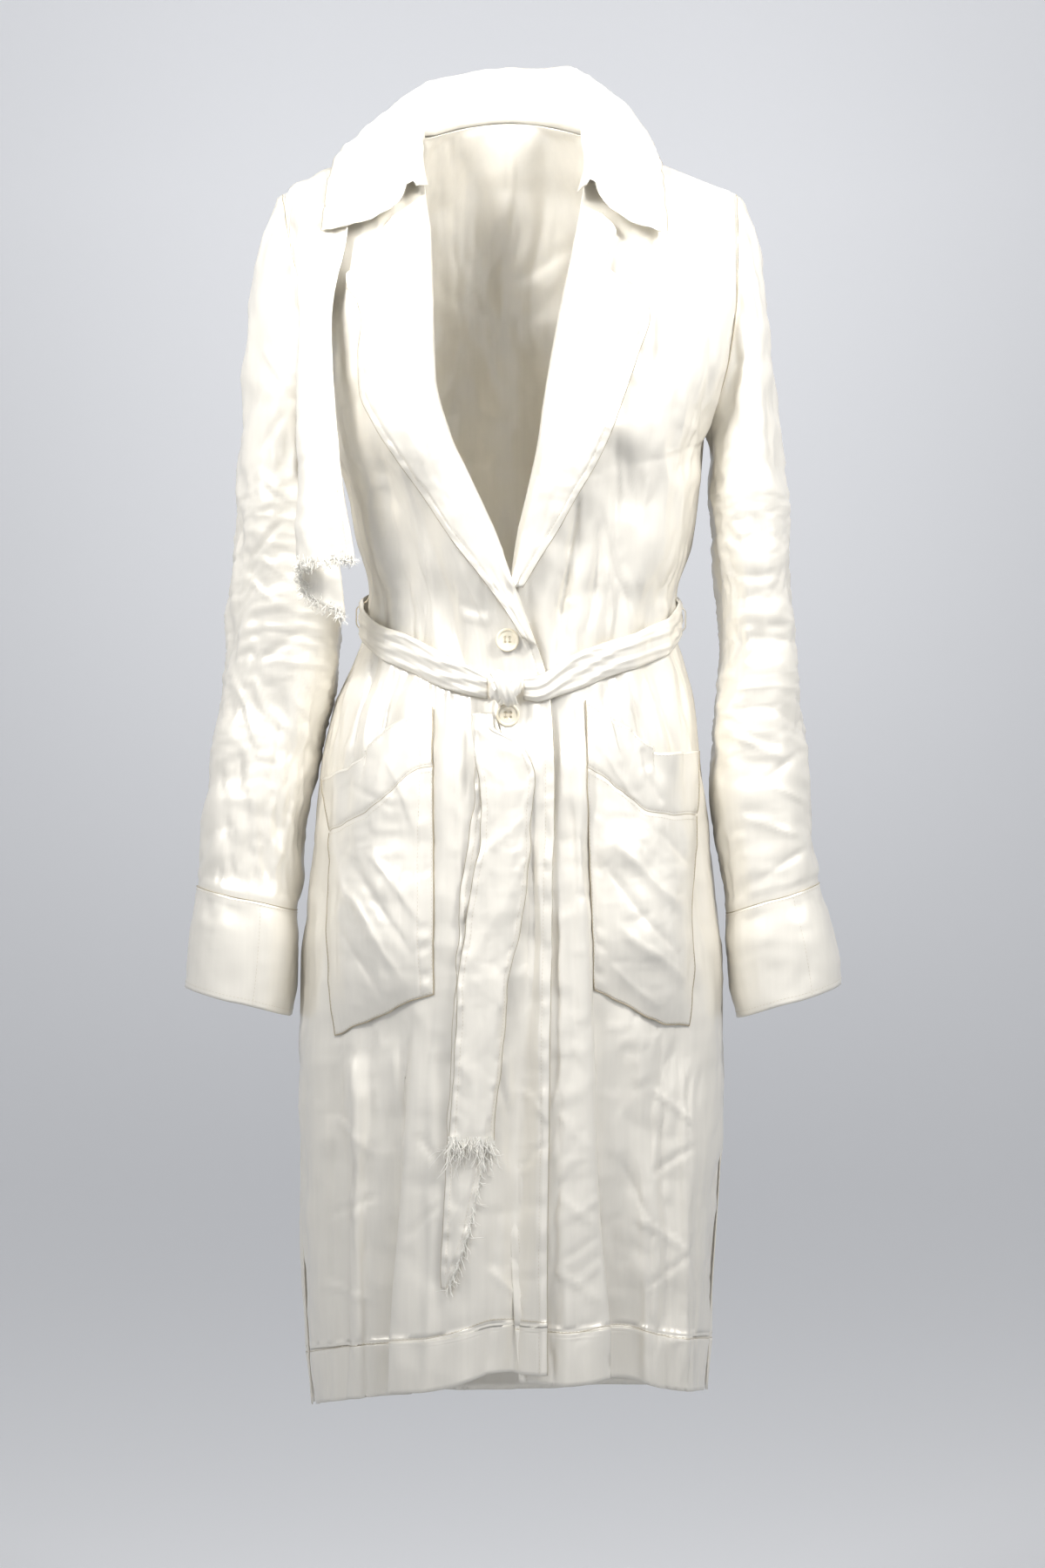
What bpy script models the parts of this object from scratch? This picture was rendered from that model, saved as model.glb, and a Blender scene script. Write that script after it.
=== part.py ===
"""Trench coat in ivory satin, worn shape, open hollow. Metres, +Z up, front faces -Y.

Every cloth piece is a wall drawn through rows worked out from the tables below
(millimetres). Origin: the middle of the neck, at shoulder height.
"""
import math
import bpy
import numpy as np
from mathutils import Vector
from mathutils.bvhtree import BVHTree

for old in list(bpy.data.objects):
    bpy.data.objects.remove(old, do_unlink=True)

MM = 0.001
WALL = 0.0016          # cloth wall
SEAM = 0.0005          # parting at a seam
LAP = 0.0022           # a piece lying on another: clear of its face
BUTTON_D = 0.021
BUTTON_H = 0.0036
BELT_W = 0.050         # belt, flat
BELT_TIED_W = 0.028    # belt, gathered round the waist
ARM_DEPTH_HALF = 0.111 # armhole, half its height
ARM_Y_HALF = 0.064     # armhole, half its depth
SIDE_SEAM_TOP = -0.264


def table(heads, *rows):
    """A table by its column names, in metres where the head is a length."""
    names = heads.split()
    return {n: np.array([r[i] for r in rows], float) for i, n in enumerate(names)}


def smooth(xs, ys, x):
    """Value of a column at x, without overshoot between rows."""
    xs = np.asarray(xs, float)
    ys = np.asarray(ys, float)
    if xs[0] > xs[-1]:
        xs, ys = xs[::-1], ys[::-1]
    h = np.diff(xs)
    d = np.diff(ys) / h
    m = np.zeros_like(ys)
    both = d[:-1] * d[1:]
    den = np.where(both > 0, d[:-1] + d[1:], 1.0)
    m[1:-1] = np.where(both > 0, 2 * both / den, 0)
    m[0], m[-1] = d[0], d[-1]
    x = np.clip(x, xs[0], xs[-1])
    i = np.clip(np.searchsorted(xs, x, side="right") - 1, 0, len(xs) - 2)
    t = (x - xs[i]) / h[i]
    return ((1 + 2 * t) * (1 - t) ** 2 * ys[i] + t * (1 - t) ** 2 * h[i] * m[i]
            + t * t * (3 - 2 * t) * ys[i + 1] + t * t * (t - 1) * h[i] * m[i + 1])


# side seam and back, by height (mm)
SIDE = table("z x_right x_left back back_n",
             (-264, -161, 179, 108, 2.5),
             (-300, -150, 176, 106, 2.5),
             (-364, -138, 168, 98, 2.4),
             (-408, -129, 154, 90, 2.3),
             (-444, -133, 153, 88, 2.2),
             (-470, -142, 159, 94, 2.2),
             (-509, -159, 169, 110, 2.2),
             (-552, -168, 174, 124, 2.3),
             (-640, -178, 183, 136, 2.4),
             (-784, -191, 196, 140, 2.4),
             (-900, -192, 195, 141, 2.4),
             (-1040, -189, 187, 142, 2.4),
             (-1154, -181, 180, 143, 2.4))

# armhole, by height (mm)
ARM = table("z x_right x_left",
            (-42, -206, 206),
            (-90, -198, 206),
            (-140, -186, 205),
            (-200, -171, 198),
            (-264, -161, 179))

# front edges: neck seam, roll line, then the straight edge; row = place down the panel
OVER_EDGE = table("v x y z n",
                  (0.00, -79, 0, 10, 2.0),
                  (0.08, -81, -36, -5, 2.0),
                  (0.20, -76, -72, -48, 2.1),
                  (0.32, -70, -95, -90, 2.2),
                  (0.46, -68, -113, -139, 2.3),
                  (0.58, -67, -122, -175, 2.4),
                  (0.72, -65, -129, -222, 2.5),
                  (0.87, -52, -131, -272, 2.5),
                  (1.00, -34, -131, -311, 2.5),
                  (1.06, -11, -129, -361, 2.4),
                  (1.10, 1, -127, -396, 2.3),
                  (1.16, 18, -122, -441, 2.2),
                  (1.22, 33, -120, -486, 2.2),
                  (1.26, 37, -126, -510, 2.2),
                  (1.34, 40, -140, -584, 2.3),
                  (1.54, 38, -145, -739, 2.4),
                  (1.73, 36, -148, -894, 2.4),
                  (1.92, 34, -150, -1048, 2.4),
                  (2.00, 34, -150, -1109, 2.4))
UNDER_EDGE = table("v x y z n",
                   (0.00, 75, 0, 12, 2.0),
                   (0.10, 72, -42, -10, 2.0),
                   (0.24, 63, -78, -70, 2.1),
                   (0.36, 55, -98, -110, 2.2),
                   (0.54, 43, -115, -171, 2.4),
                   (0.70, 34, -122, -222, 2.5),
                   (0.90, 25, -124, -282, 2.5),
                   (1.01, 16, -124, -323, 2.5),
                   (1.06, 7, -120, -362, 2.4),
                   (1.10, 2, -118, -393, 2.3),
                   (1.15, -5, -115, -430, 2.2),
                   (1.20, -11, -112, -474, 2.2),
                   (1.25, -16, -117, -507, 2.2),
                   (1.34, -17, -131, -584, 2.3),
                   (1.54, -11, -137, -739, 2.4),
                   (1.73, -3, -140, -894, 2.4),
                   (1.92, 4, -142, -1049, 2.4),
                   (2.00, 9, -142, -1116, 2.4))

# soft folds: a line down the cloth, cross width, height out (mm), fades (share of the line)
FOLDS_RIGHT = table("x0 z0 x1 z1 wide out fade",
                    (-118, -262, -84, -462, 13, -6, .35),
                    (-92, -312, -40, -482, 11, -5, .35),
                    (-100, -225, -95, -330, 40, 8, .45),
                    (-120, -470, -150, -590, 8, 5, .35),
                    (-103, -474, -125, -600, 8, -5, .35),
                    (-88, -480, -100, -590, 7, 4, .35),
                    (-56, -500, -60, -800, 10, 4, .4),
                    (24, -590, 4, -1100, 13, -7, .15),
                    (-35, -700, -45, -1130, 22, 5, .2),
                    (-160, -820, -158, -1150, 9, -5, .2),
                    (-140, -800, -138, -1150, 9, 4, .2))
FOLDS_LEFT = table("x0 z0 x1 z1 wide out fade",
                   (66, -314, 40, -480, 11, -7, .35),
                   (86, -326, 72, -450, 9, -4, .35),
                   (100, -262, 98, -366, 16, -6, .4),
                   (95, -215, 92, -320, 38, 8, .45),
                   (92, -502, 112, -600, 9, 5, .35),
                   (108, -502, 128, -590, 7, -4, .35),
                   (122, -490, 146, -590, 8, 5, .35),
                   (58, -520, 56, -1125, 12, 6, .15),
                   (120, -810, 118, -1150, 17, -8, .15),
                   (165, -820, 160, -1150, 9, 5, .2))
FOLDS_BACK = table("x0 z0 x1 z1 wide out fade",
                   (-120, -452, -136, -620, 10, 5, .4),
                   (-95, -448, -104, -610, 9, -4, .4),
                   (-70, -452, -80, -1154, 16, 8, .25),
                   (-30, -450, -34, -620, 12, -5, .4),
                   (0, -560, 2, -1154, 20, 7, .3),
                   (32, -450, 36, -640, 12, -5, .4),
                   (74, -452, 84, -1154, 16, 8, .25),
                   (104, -450, 112, -610, 9, -4, .4),
                   (126, -454, 142, -640, 10, 5, .4),
                   (-42, -700, -46, -1154, 17, -7, .3),
                   (42, -720, 46, -1154, 17, -7, .3),
                   (-60, -240, -66, -430, 20, 6, .4),
                   (62, -240, 66, -430, 20, 6, .4),
                   (0, -120, 0, -430, 26, -5, .5))

# deep folds that turn back under themselves: line of the fold, how far it laps, how deep
LAP_RIGHT = table("z x laps deep",
                  (-760, -86, 0, 0), (-868, -92, 7, 13), (-956, -98, 9, 18),
                  (-1067, -102, 16, 25), (-1170, -103, 18, 27))
LAP_LEFT = table("z x laps deep",
                 (-500, 68, 0, 0), (-640, 72, 4, 8), (-762, 76, 7, 12), (-904, 76, 12, 18),
                 (-1001, 79, 16, 23), (-1076, 82, 20, 27), (-1170, 83, 22, 28))


def rows_through(a, e, n, u):
    """Rows from the side points a to the edge points e, round like a quarter oval."""
    t = np.linspace(0, math.pi / 2, 60)
    out = np.zeros((len(a), len(u), 3))
    for k in range(len(a)):
        gx = 1 - np.cos(t) ** (2 / n[k])
        gy = np.sin(t) ** (2 / n[k])
        dx, dy, dz = e[k] - a[k]
        s = np.concatenate([[0], np.cumsum(np.hypot(np.diff(gx) * dx, np.diff(gy) * dy))])
        s /= s[-1]
        out[k, :, 0] = a[k, 0] + dx * np.interp(u, s, gx)
        out[k, :, 1] = a[k, 1] + dy * np.interp(u, s, gy)
        out[k, :, 2] = a[k, 2] + dz * u
    return out


def normals(p, closed=False):
    """Outward turn of a grid: along the rows by down the rows."""
    if closed:
        du = np.roll(p, -1, 1) - np.roll(p, 1, 1)
    else:
        du = np.gradient(p, axis=1)
    dv = np.gradient(p, axis=0)
    n = np.cross(du, dv)
    ln = np.linalg.norm(n, axis=2, keepdims=True)
    return n / np.maximum(ln, 1e-12)


def fold_height(x, z, folds):
    out = np.zeros_like(x)
    for k in range(len(folds["x0"])):
        x0, z0, x1, z1 = (folds[c][k] * MM for c in ("x0", "z0", "x1", "z1"))
        t = (z - z0) / (z1 - z0)
        f = folds["fade"][k]
        end = 1.0 if z1 < -1.09 else None
        rise = np.clip(t / f, 0, 1)
        fall = np.clip((1 - t) / f, 0, 1) if end is None else (t < 9) * 1.0
        win = (rise * rise * (3 - 2 * rise)) * (fall * fall * (3 - 2 * fall))
        d = (x - (x0 + (x1 - x0) * t)) / (folds["wide"][k] * MM)
        out += folds["out"][k] * MM * win * np.exp(-d * d)
    return out


def lap_fold(p, n, lap, side):
    """Turns the cloth back under itself along the line in the table."""
    x, z = p[..., 0], p[..., 2]
    xf = smooth(lap["z"] * MM, lap["x"] * MM, z)
    o = smooth(lap["z"] * MM, lap["laps"] * MM, z)
    h = smooth(lap["z"] * MM, lap["deep"] * MM, z)
    q = (x - xf) * (-side) / 0.012          # + towards the middle of the front
    bend = q * np.exp((1 - q * q) / 2)
    back = 0.5 * (1 - np.tanh(1.25 * q)) * np.exp(-np.clip(-q, 0, None) * 0.012 / 0.055)
    q = p.copy()
    q[..., 0] += side * (o * 0.95) * bend
    return q - n * (h * back)[..., None]


def arm_angle(v):
    """Turn round the armhole at a row: 0 at the shoulder, half a turn under the arm."""
    return math.pi * np.asarray(v) ** 0.92


def front_surface(side, u, v):
    """Face of a front panel: u from the side to the front edge, v down from the shoulder."""
    right = side < 0
    edge = OVER_EDGE if right else UNDER_EDGE
    xs = "x_right" if right else "x_left"
    above = np.clip(v, 0, 1)
    below = np.clip(v - 1, 0, 1)
    th = arm_angle(above)
    hem = -1.1536 if right else -1.140
    za = np.where(v <= 1, SIDE_SEAM_TOP + ARM_DEPTH_HALF * (1 + np.cos(th)),
                  SIDE_SEAM_TOP + (hem - SIDE_SEAM_TOP) * below)
    xa = np.where(v <= 1, smooth(ARM["z"] * MM, ARM[xs] * MM, za),
                  smooth(SIDE["z"] * MM, SIDE[xs] * MM, za))
    ya = np.where(v <= 1, -ARM_Y_HALF * np.sin(th), 0.0) - SEAM * 0.6
    a = np.stack([xa, ya, za], 1)
    e = np.stack([smooth(edge["v"], edge[c] * MM, v) for c in "xyz"], 1)
    n = smooth(edge["v"], edge["n"], v)
    p = rows_through(a, e, n, u)
    # the bust, and the small rise of the hem at the front
    x, z = p[..., 0], p[..., 2]
    nn = normals(p) * side
    p = p + nn * (fold_height(x, z, FOLDS_RIGHT if right else FOLDS_LEFT)
                  * np.clip(u * 9, 0, 1)[None, :] * np.clip(v * 5, 0, 1)[:, None])[..., None]
    p = lap_fold(p, nn, LAP_RIGHT if right else LAP_LEFT, side)
    low = np.clip((v - 1.8) / 0.2, 0, 1)[:, None]
    at = -0.015 if right else 0.10
    p[..., 2] += 0.009 * low * np.exp(-((p[..., 0] - at) / 0.03) ** 2)
    return p


def back_surface(u, v):
    """Face of the back: u from the left side seam round to the right one."""
    above = np.clip(v, 0, 1)
    below = np.clip(v - 1, 0, 1)
    th = arm_angle(above)
    mid_z = np.where(v <= 1, 0.030 + (-0.290 - 0.030) * above, -0.290 + (-1.158 + 0.290) * below)
    up = np.clip(above / 0.55, 0, 1)
    mid_y = np.where(v <= 1, 0.058 + (0.100 - 0.058) * np.sin(up * math.pi / 2),
                     smooth(SIDE["z"] * MM, SIDE["back"] * MM, mid_z))
    mid_y = np.where(v <= 1, mid_y + 0.007 * np.clip((above - .5) / .5, 0, 1), mid_y)
    halves = []
    for xs, hem in (("x_left", -1.140), ("x_right", -1.1536)):
        za = np.where(v <= 1, SIDE_SEAM_TOP + ARM_DEPTH_HALF * (1 + np.cos(th)),
                      SIDE_SEAM_TOP + (hem - SIDE_SEAM_TOP) * below)
        xa = np.where(v <= 1, smooth(ARM["z"] * MM, ARM[xs] * MM, za),
                      smooth(SIDE["z"] * MM, SIDE[xs] * MM, za))
        ya = np.where(v <= 1, ARM_Y_HALF * np.sin(th), 0.0) + SEAM * 0.6
        a = np.stack([xa, ya, za], 1)
        e = np.stack([np.zeros_like(v), mid_y, mid_z], 1)
        n = np.where(v <= 1, 2.0 + 0.5 * above, smooth(SIDE["z"] * MM, SIDE["back_n"], mid_z))
        halves.append(rows_through(a, e, n, np.linspace(0, 1, 81)))
    whole = np.concatenate([halves[0], halves[1][:, -2::-1]], 1)
    # the top row follows the shoulder seams and the neck
    s = np.linspace(0, 1, whole.shape[1])
    out = np.stack([np.stack([np.interp(u, s, whole[k, :, c]) for c in range(3)], 1)
                    for k in range(len(v))])
    nx, nl = 0.079, 0.075
    x = out[..., 0]
    near = np.exp(-(np.clip(v, 0, 1) / 0.16) ** 2)[:, None]
    shoulder = np.where(x < 0, 0.010 + (-x - nx) * (-0.052 / 0.127),
                        0.012 + (x - nl) * (-0.054 / 0.131))
    neck = 0.030 - 0.019 * (np.abs(x) / 0.077) ** 2
    zt = np.where(np.abs(x) < 0.077, neck, shoulder)
    yt = SEAM + 0.058 * np.sqrt(np.clip(1 - (x / 0.079) ** 2, 0, 1))
    w = near * np.clip(1 - v, 0, 1)[:, None]
    w[0] = 1
    out[..., 2] += (zt - out[..., 2]) * w
    out[..., 1] += (yt - out[..., 1]) * w
    nn = -normals(out)
    return out + nn * (fold_height(out[..., 0], out[..., 2], FOLDS_BACK)
                       * np.clip(np.minimum(u, 1 - u) * 14, 0, 1)[None, :])[..., None]


def wall_faces(rows, cols, closed):
    """Outer and inner triangles of a wall drawn on a grid, without its rim."""
    half = rows * cols
    idx = np.arange(half).reshape(rows, cols)
    faces = []
    for i in range(rows - 1):
        for j in range(cols if closed else cols - 1):
            k = (j + 1) % cols
            for f in ((idx[i, j], idx[i, k], idx[i + 1, k]),
                      (idx[i, j], idx[i + 1, k], idx[i + 1, j])):
                faces.append(f)
                faces.append(tuple(c + half for c in reversed(f)))
    return faces


def clear(p, under, side, push=None, wall=WALL, gap=0.0005, step=0.0006, closed=False):
    """Moves the points of a laid grid out until its wall is clear of what lies under it."""
    p = p.copy()
    rows, cols = p.shape[:2]
    faces = wall_faces(rows, cols, closed)
    for _ in range(40):
        n = normals(p, closed) * side
        out = n if push is None else np.broadcast_to(np.asarray(push, float), p.shape)
        both = np.concatenate([(p + n * gap).reshape(-1, 3), (p - n * (wall + gap)).reshape(-1, 3)])
        mine = BVHTree.FromPolygons([tuple(c) for c in both], faces)
        hits = mine.overlap(under)
        if not hits:
            break
        mark = np.zeros(rows * cols, bool)
        for a, _b in hits:
            for c in faces[a]:
                mark[c % (rows * cols)] = True
        mark = mark.reshape(rows, cols)
        near = np.zeros(mark.shape)
        near[mark] = 1.0
        soft = near.copy()
        soft[1:] = np.maximum(soft[1:], near[:-1] * .4)
        soft[:-1] = np.maximum(soft[:-1], near[1:] * .4)
        soft[:, 1:] = np.maximum(soft[:, 1:], near[:, :-1] * .4)
        soft[:, :-1] = np.maximum(soft[:, :-1], near[:, 1:] * .4)
        p = p + out * (soft * step)[..., None]
    return p


def shell(name, p, side=1, wall=WALL, closed=False, seams=()):
    """A wall with its outer face on the grid p; side turns its outward way.

    seams: places of the grid (rows, columns) whose rim stands square to an axis.
    """
    n = normals(p, closed) * side
    for rows, cols, axis in seams:
        part = n[rows, cols]
        part[..., axis] = 0
        n[rows, cols] = part / np.linalg.norm(part, axis=-1, keepdims=True)
    rows, cols = p.shape[:2]
    q = p - n * wall
    verts = np.concatenate([p.reshape(-1, 3), q.reshape(-1, 3)])
    half = rows * cols
    idx = np.arange(half).reshape(rows, cols)
    faces = wall_faces(rows, cols, closed)
    rim = []
    if closed:
        rim.append([idx[0, j % cols] for j in range(cols, -1, -1)])
        rim.append([idx[-1, j % cols] for j in range(cols + 1)])
    else:
        ring = ([idx[0, j] for j in range(cols)] + [idx[i, -1] for i in range(1, rows)]
                + [idx[-1, j] for j in range(cols - 2, -1, -1)]
                + [idx[i, 0] for i in range(rows - 2, -1, -1)])
        rim.append(ring[::-1])
    for r in rim:
        for a, b in zip(r[:-1], r[1:]):
            faces.append((a, b, b + half, a + half))
    return solid(name, verts, faces)


def solid(name, verts, faces):
    """One object; its faces are turned out by the sign of its volume."""
    verts = np.asarray(verts, float)
    vol = 0.0
    for f in faces:
        for k in range(1, len(f) - 1):
            vol += np.dot(verts[f[0]], np.cross(verts[f[k]], verts[f[k + 1]]))
    if vol < 0:
        faces = [tuple(reversed(f)) for f in faces]
    me = bpy.data.meshes.new(name)
    me.from_pydata([tuple(v) for v in verts], [], [tuple(int(c) for c in f) for f in faces])
    me.update()
    ob = bpy.data.objects.new(name, me)
    bpy.context.collection.objects.link(ob)
    return ob


def tree(*obs):
    """A search tree of solids already built, for laying pieces on them."""
    verts, faces = [], []
    for ob in obs:
        at = len(verts)
        verts += [v.co.copy() for v in ob.data.vertices]
        faces += [[i + at for i in f.vertices] for f in ob.data.polygons]
    return BVHTree.FromPolygons(verts, faces)


def front_y(under, x, z, none=0.0):
    """How far forward the pieces below reach at x, z."""
    hit = under.ray_cast(Vector((float(x), -1.0, float(z))), Vector((0, 1, 0)))
    return hit[0].y if hit[0] is not None else none


def sample(p, u, v, us, vs):
    """Points of a fine grid p at the places u (across) and v (down)."""
    fu = np.interp(u, us, np.arange(len(us)))
    fv = np.interp(v, vs, np.arange(len(vs)))
    i = np.clip(fv.astype(int), 0, len(vs) - 2)
    j = np.clip(fu.astype(int), 0, len(us) - 2)
    a, b = (fv - i)[..., None], (fu - j)[..., None]
    return (p[i, j] * (1 - a) * (1 - b) + p[i + 1, j] * a * (1 - b)
            + p[i, j + 1] * (1 - a) * b + p[i + 1, j + 1] * a * b)


# ---------------------------------------------------------------- body panels
ARM_V = [0, .07, .16, .28, .42, .56, .70, .85, 1.0]     # rows down the armhole
ROWS_V = np.array(ARM_V + [1.05, 1.10, 1.15, 1.19, 1.225, 1.26, 1.30, 1.35, 1.42, 1.50, 1.58,
                           1.66, 1.74, 1.82, 1.89, 1.95, 2.0])
COLS_U = {-1: np.array([0, .06, .13, .20, .27, .33, .38, .42, .455, .49, .525, .56, .60, .66, .73,
                        .80, .87, .94, 1.0]),
          1: np.array([0, .06, .13, .20, .28, .36, .43, .49, .53, .565, .60, .635, .67, .71, .76,
                       .82, .88, .94, 1.0])}
ARM_ROWS = int(np.argmax(ROWS_V >= 1.0))
fronts = {}
for name, side in (("front_right", -1), ("front_left", 1)):
    p = front_surface(side, COLS_U[side], ROWS_V)
    fronts[name] = shell(name, p, side,
                         seams=((slice(ARM_ROWS, None), 0, 1), (0, slice(None), 1)))
BACK_U = np.linspace(0, 1, 25)
back = shell("back", back_surface(BACK_U, ROWS_V), -1,
             seams=((slice(ARM_ROWS, None), 0, 1), (slice(ARM_ROWS, None), -1, 1),
                    (0, slice(0, 5), 1), (0, slice(20, None), 1)))

# ---------------------------------------------------------------- sleeves and cuffs
# by height of the ring's middle (mm); tilt = how much lower its inner side hangs
SLEEVE_RIGHT = table("z x half_x y half_y tilt",
                     (-320, -206, 45, 4, 68, 6),
                     (-380, -207, 49, 6, 67, 8),
                     (-435, -208, 52, 8, 66, 8),
                     (-488, -211, 52, 6, 64, 8),
                     (-530, -220, 50, 2, 62, 8),
                     (-584, -228, 48, -4, 60, 10),
                     (-632, -234, 47, -8, 57, 16),
                     (-690, -240, 45, -12, 54, 22))
SLEEVE_LEFT = table("z x half_x y half_y tilt",
                    (-320, 217, 36, 4, 74, 6),
                    (-380, 222, 36, 6, 73, 8),
                    (-435, 226, 36, 8, 70, 8),
                    (-488, 229, 37, 6, 67, 8),
                    (-530, 229, 40, 2, 64, 10),
                    (-584, 230, 45, -4, 60, 12),
                    (-632, 233, 45, -8, 57, 20),
                    (-690, 241, 42, -12, 54, 28))
CUFF_RIGHT = table("z x half_x y half_y tilt",
                   (-690.7, -240, 45, -12, 54, 22), (-722, -242, 48, -13, 57, 23),
                   (-756, -245, 49, -13, 58, 25), (-782, -248, 48, -13, 58, 27))
CUFF_LEFT = table("z x half_x y half_y tilt",
                  (-690.7, 241, 42, -12, 54, 28), (-722, 246, 47, -13, 57, 29),
                  (-756, 252, 49, -13, 58, 31), (-782, 256, 47, -13, 58, 31))
_front = arm_angle(np.array(ARM_V))
PHI = np.concatenate([_front, 2 * math.pi - _front[-2:0:-1]])   # same points as the panels


def ring_at(tab, z, side, phi):
    """A flattened round ring of a sleeve; phi 0 is its outer side, then the front."""
    g = {c: smooth(tab["z"] * MM, tab[c] * MM, z) for c in ("x", "half_x", "y", "half_y", "tilt")}
    c, s = np.cos(phi), np.sin(phi)
    e = 0.85
    x = g["x"] + side * g["half_x"] * np.sign(c) * np.abs(c) ** e
    y = g["y"] - g["half_y"] * np.sign(s) * np.abs(s) ** e
    return np.stack([x, y, z + 0.5 * g["tilt"] * c], -1)


def sleeve(name, side, tab, phi=PHI):
    xs = "x_right" if side < 0 else "x_left"
    # head: from the armhole to the first ring, each line leaving outward
    z0 = SIDE_SEAM_TOP + ARM_DEPTH_HALF * (1 + np.cos(phi))
    x0 = smooth(ARM["z"] * MM, ARM[xs] * MM, z0) + side * 0.0009
    y0 = -ARM_Y_HALF * np.sin(phi)
    p0 = np.stack([x0, y0, z0], 1)
    p1 = ring_at(tab, tab["z"][0] * MM, side, phi)
    up = (1 + np.cos(phi)) / 2
    t0 = np.stack([side * (0.030 + 0.060 * up), -0.010 * np.sin(phi), -0.035 - 0.03 * up], 1)
    t1 = np.stack([side * 0.030 * up, 0 * phi, -0.05 - 0.24 * up], 1)
    rows = []
    for t in (0, .12, .30, .52, .76):
        h = (2 * t ** 3 - 3 * t * t + 1, t ** 3 - 2 * t * t + t,
             -2 * t ** 3 + 3 * t * t, t ** 3 - t * t)
        rows.append(h[0] * p0 + h[1] * t0 + h[2] * p1 + h[3] * t1)
    for z in (-320, -366, -412, -455, -500, -545, -592, -642, -690):
        rows.append(ring_at(tab, z * MM, side, phi))
    return shell(name, np.array(rows), side, closed=True, seams=((0, slice(None), 0),))


def cuff(name, side, tab):
    return shell(name, np.array([ring_at(tab, z * MM, side, PHI) for z in tab["z"]]), side,
                 closed=True)


sleeve("sleeve_right", -1, SLEEVE_RIGHT)
sleeve("sleeve_left", 1, SLEEVE_LEFT)
cuff("cuff_right", -1, CUFF_RIGHT)
cuff("cuff_left", 1, CUFF_LEFT)

# ---------------------------------------------------------------- fine faces, for laying pieces on
FINE_U, FINE_V = np.linspace(0, 1, 91), np.linspace(0, 2, 161)
FACE = {side: front_surface(side, FINE_U, FINE_V) for side in (-1, 1)}
OUT = {side: normals(FACE[side]) * side for side in (-1, 1)}
on_fronts = tree(fronts["front_right"], fronts["front_left"])

# ---------------------------------------------------------------- lapels
# down the roll line: the outer edge (mm) and how far the leaf stands off the front
LAPEL_RIGHT = table("v x z lift",
                    (.21, -104, -72, 2), (.28, -121, -96, 3), (.36, -137, -120, 4),
                    (.42, -142, -139, 6), (.50, -134, -170, 7), (.60, -135, -200, 8),
                    (.70, -134, -232, 8), (.80, -120, -265, 8), (.90, -100, -296, 7),
                    (1.00, -78, -326, 6), (1.05, -50, -368, 5), (1.10, -27, -397, 4),
                    (1.15, -4, -428, 3.4), (1.19, 15, -458, 3), (1.212, 27, -476, 2.6))
LAPEL_LEFT = table("v x z lift",
                   (.22, 84, -70, 2), (.29, 95, -90, 3), (.36, 90, -118, 4),
                   (.44, 118, -140, 7), (.52, 125, -166, 8), (.60, 117, -196, 8),
                   (.70, 104, -234, 8), (.80, 92, -268, 8), (.90, 78, -298, 7),
                   (1.00, 59, -330, 6), (1.04, 44, -357, 5), (1.08, 28, -382, 4),
                   (1.11, 16, -402, 3), (1.125, 10, -412, 2.6))
LEAF = (0, .16, .38, .60, .82, 1.0)      # across a lapel, roll to outer edge


def lapel(name, side, tab, v, under, leaf=LEAF):
    """The facing turned out along the roll line, laid over the front."""
    edge = OVER_EDGE if side < 0 else UNDER_EDGE
    roll = np.stack([smooth(edge["v"], edge[c] * MM, v) for c in "xyz"], 1)
    outer_x, outer_z = (smooth(tab["v"], tab[c] * MM, v) for c in "xz")
    lift = smooth(tab["v"], tab["lift"] * MM, v)
    grid = np.zeros((len(v), len(leaf), 3))
    for i in range(len(v)):
        for j, c in enumerate(leaf):
            x = roll[i, 0] + (outer_x[i] - roll[i, 0]) * c
            z = roll[i, 2] + (outer_z[i] - roll[i, 2]) * c
            y = front_y(under, x if c else x + side * .001, z, roll[i, 1]) - .0012 - WALL
            grid[i, j] = (x, y - lift[i] * math.sin(c * 1.9), z)
    for _ in range(2):
        y = grid[..., 1].copy()
        grid[1:-1, :, 1] = np.minimum(y[1:-1], 0.25 * y[:-2] + 0.5 * y[1:-1] + 0.25 * y[2:])
    grid = clear(grid, under, -side, push=(0, -1, 0))
    return shell(name, grid, -side)


V_RIGHT = np.array([.21, .26, .31, .36, .42, .50, .60, .70, .80, .90, 1.0, 1.06, 1.11, 1.15, 1.185])
V_LEFT = np.array([.22, .27, .32, .38, .44, .52, .60, .70, .80, .90, 1.0, 1.05, 1.09, 1.12])
lapel_left = lapel("lapel_left", 1, LAPEL_LEFT, V_LEFT, tree(*fronts.values()))
lapel_right = lapel("lapel_right", -1, LAPEL_RIGHT, V_RIGHT, tree(*fronts.values(), lapel_left))

# ---------------------------------------------------------------- patch pockets
# outlines seen from the front (mm), inner edge to side, then down the side
POCKETS = {
    -1: dict(top=[(-68, -516), (-82, -519), (-94, -529), (-108, -545), (-127, -564), (-152, -576), (-170, -580)],
             foot=[(-67, -771), (-81, -775), (-96, -782), (-112, -790), (-135, -800), (-146, -806), (-157, -811)],
             inner=[(-68, -516), (-67, -640), (-67, -771)],
             outer=[(-170, -580), (-164, -620), (-162, -655), (-165, -702), (-163, -765), (-157, -811)]),
    1: dict(top=[(68, -509), (87, -523), (106, -540), (120, -554), (134, -556), (150, -556), (172, -554)],
            foot=[(76, -767), (88, -773), (99, -779), (123, -793), (133, -797), (143, -800), (162, -801)],
            inner=[(68, -509), (71, -640), (76, -767)],
            outer=[(172, -554), (171, -600), (170, -636), (164, -699), (167, -747), (162, -801)])}


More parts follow.
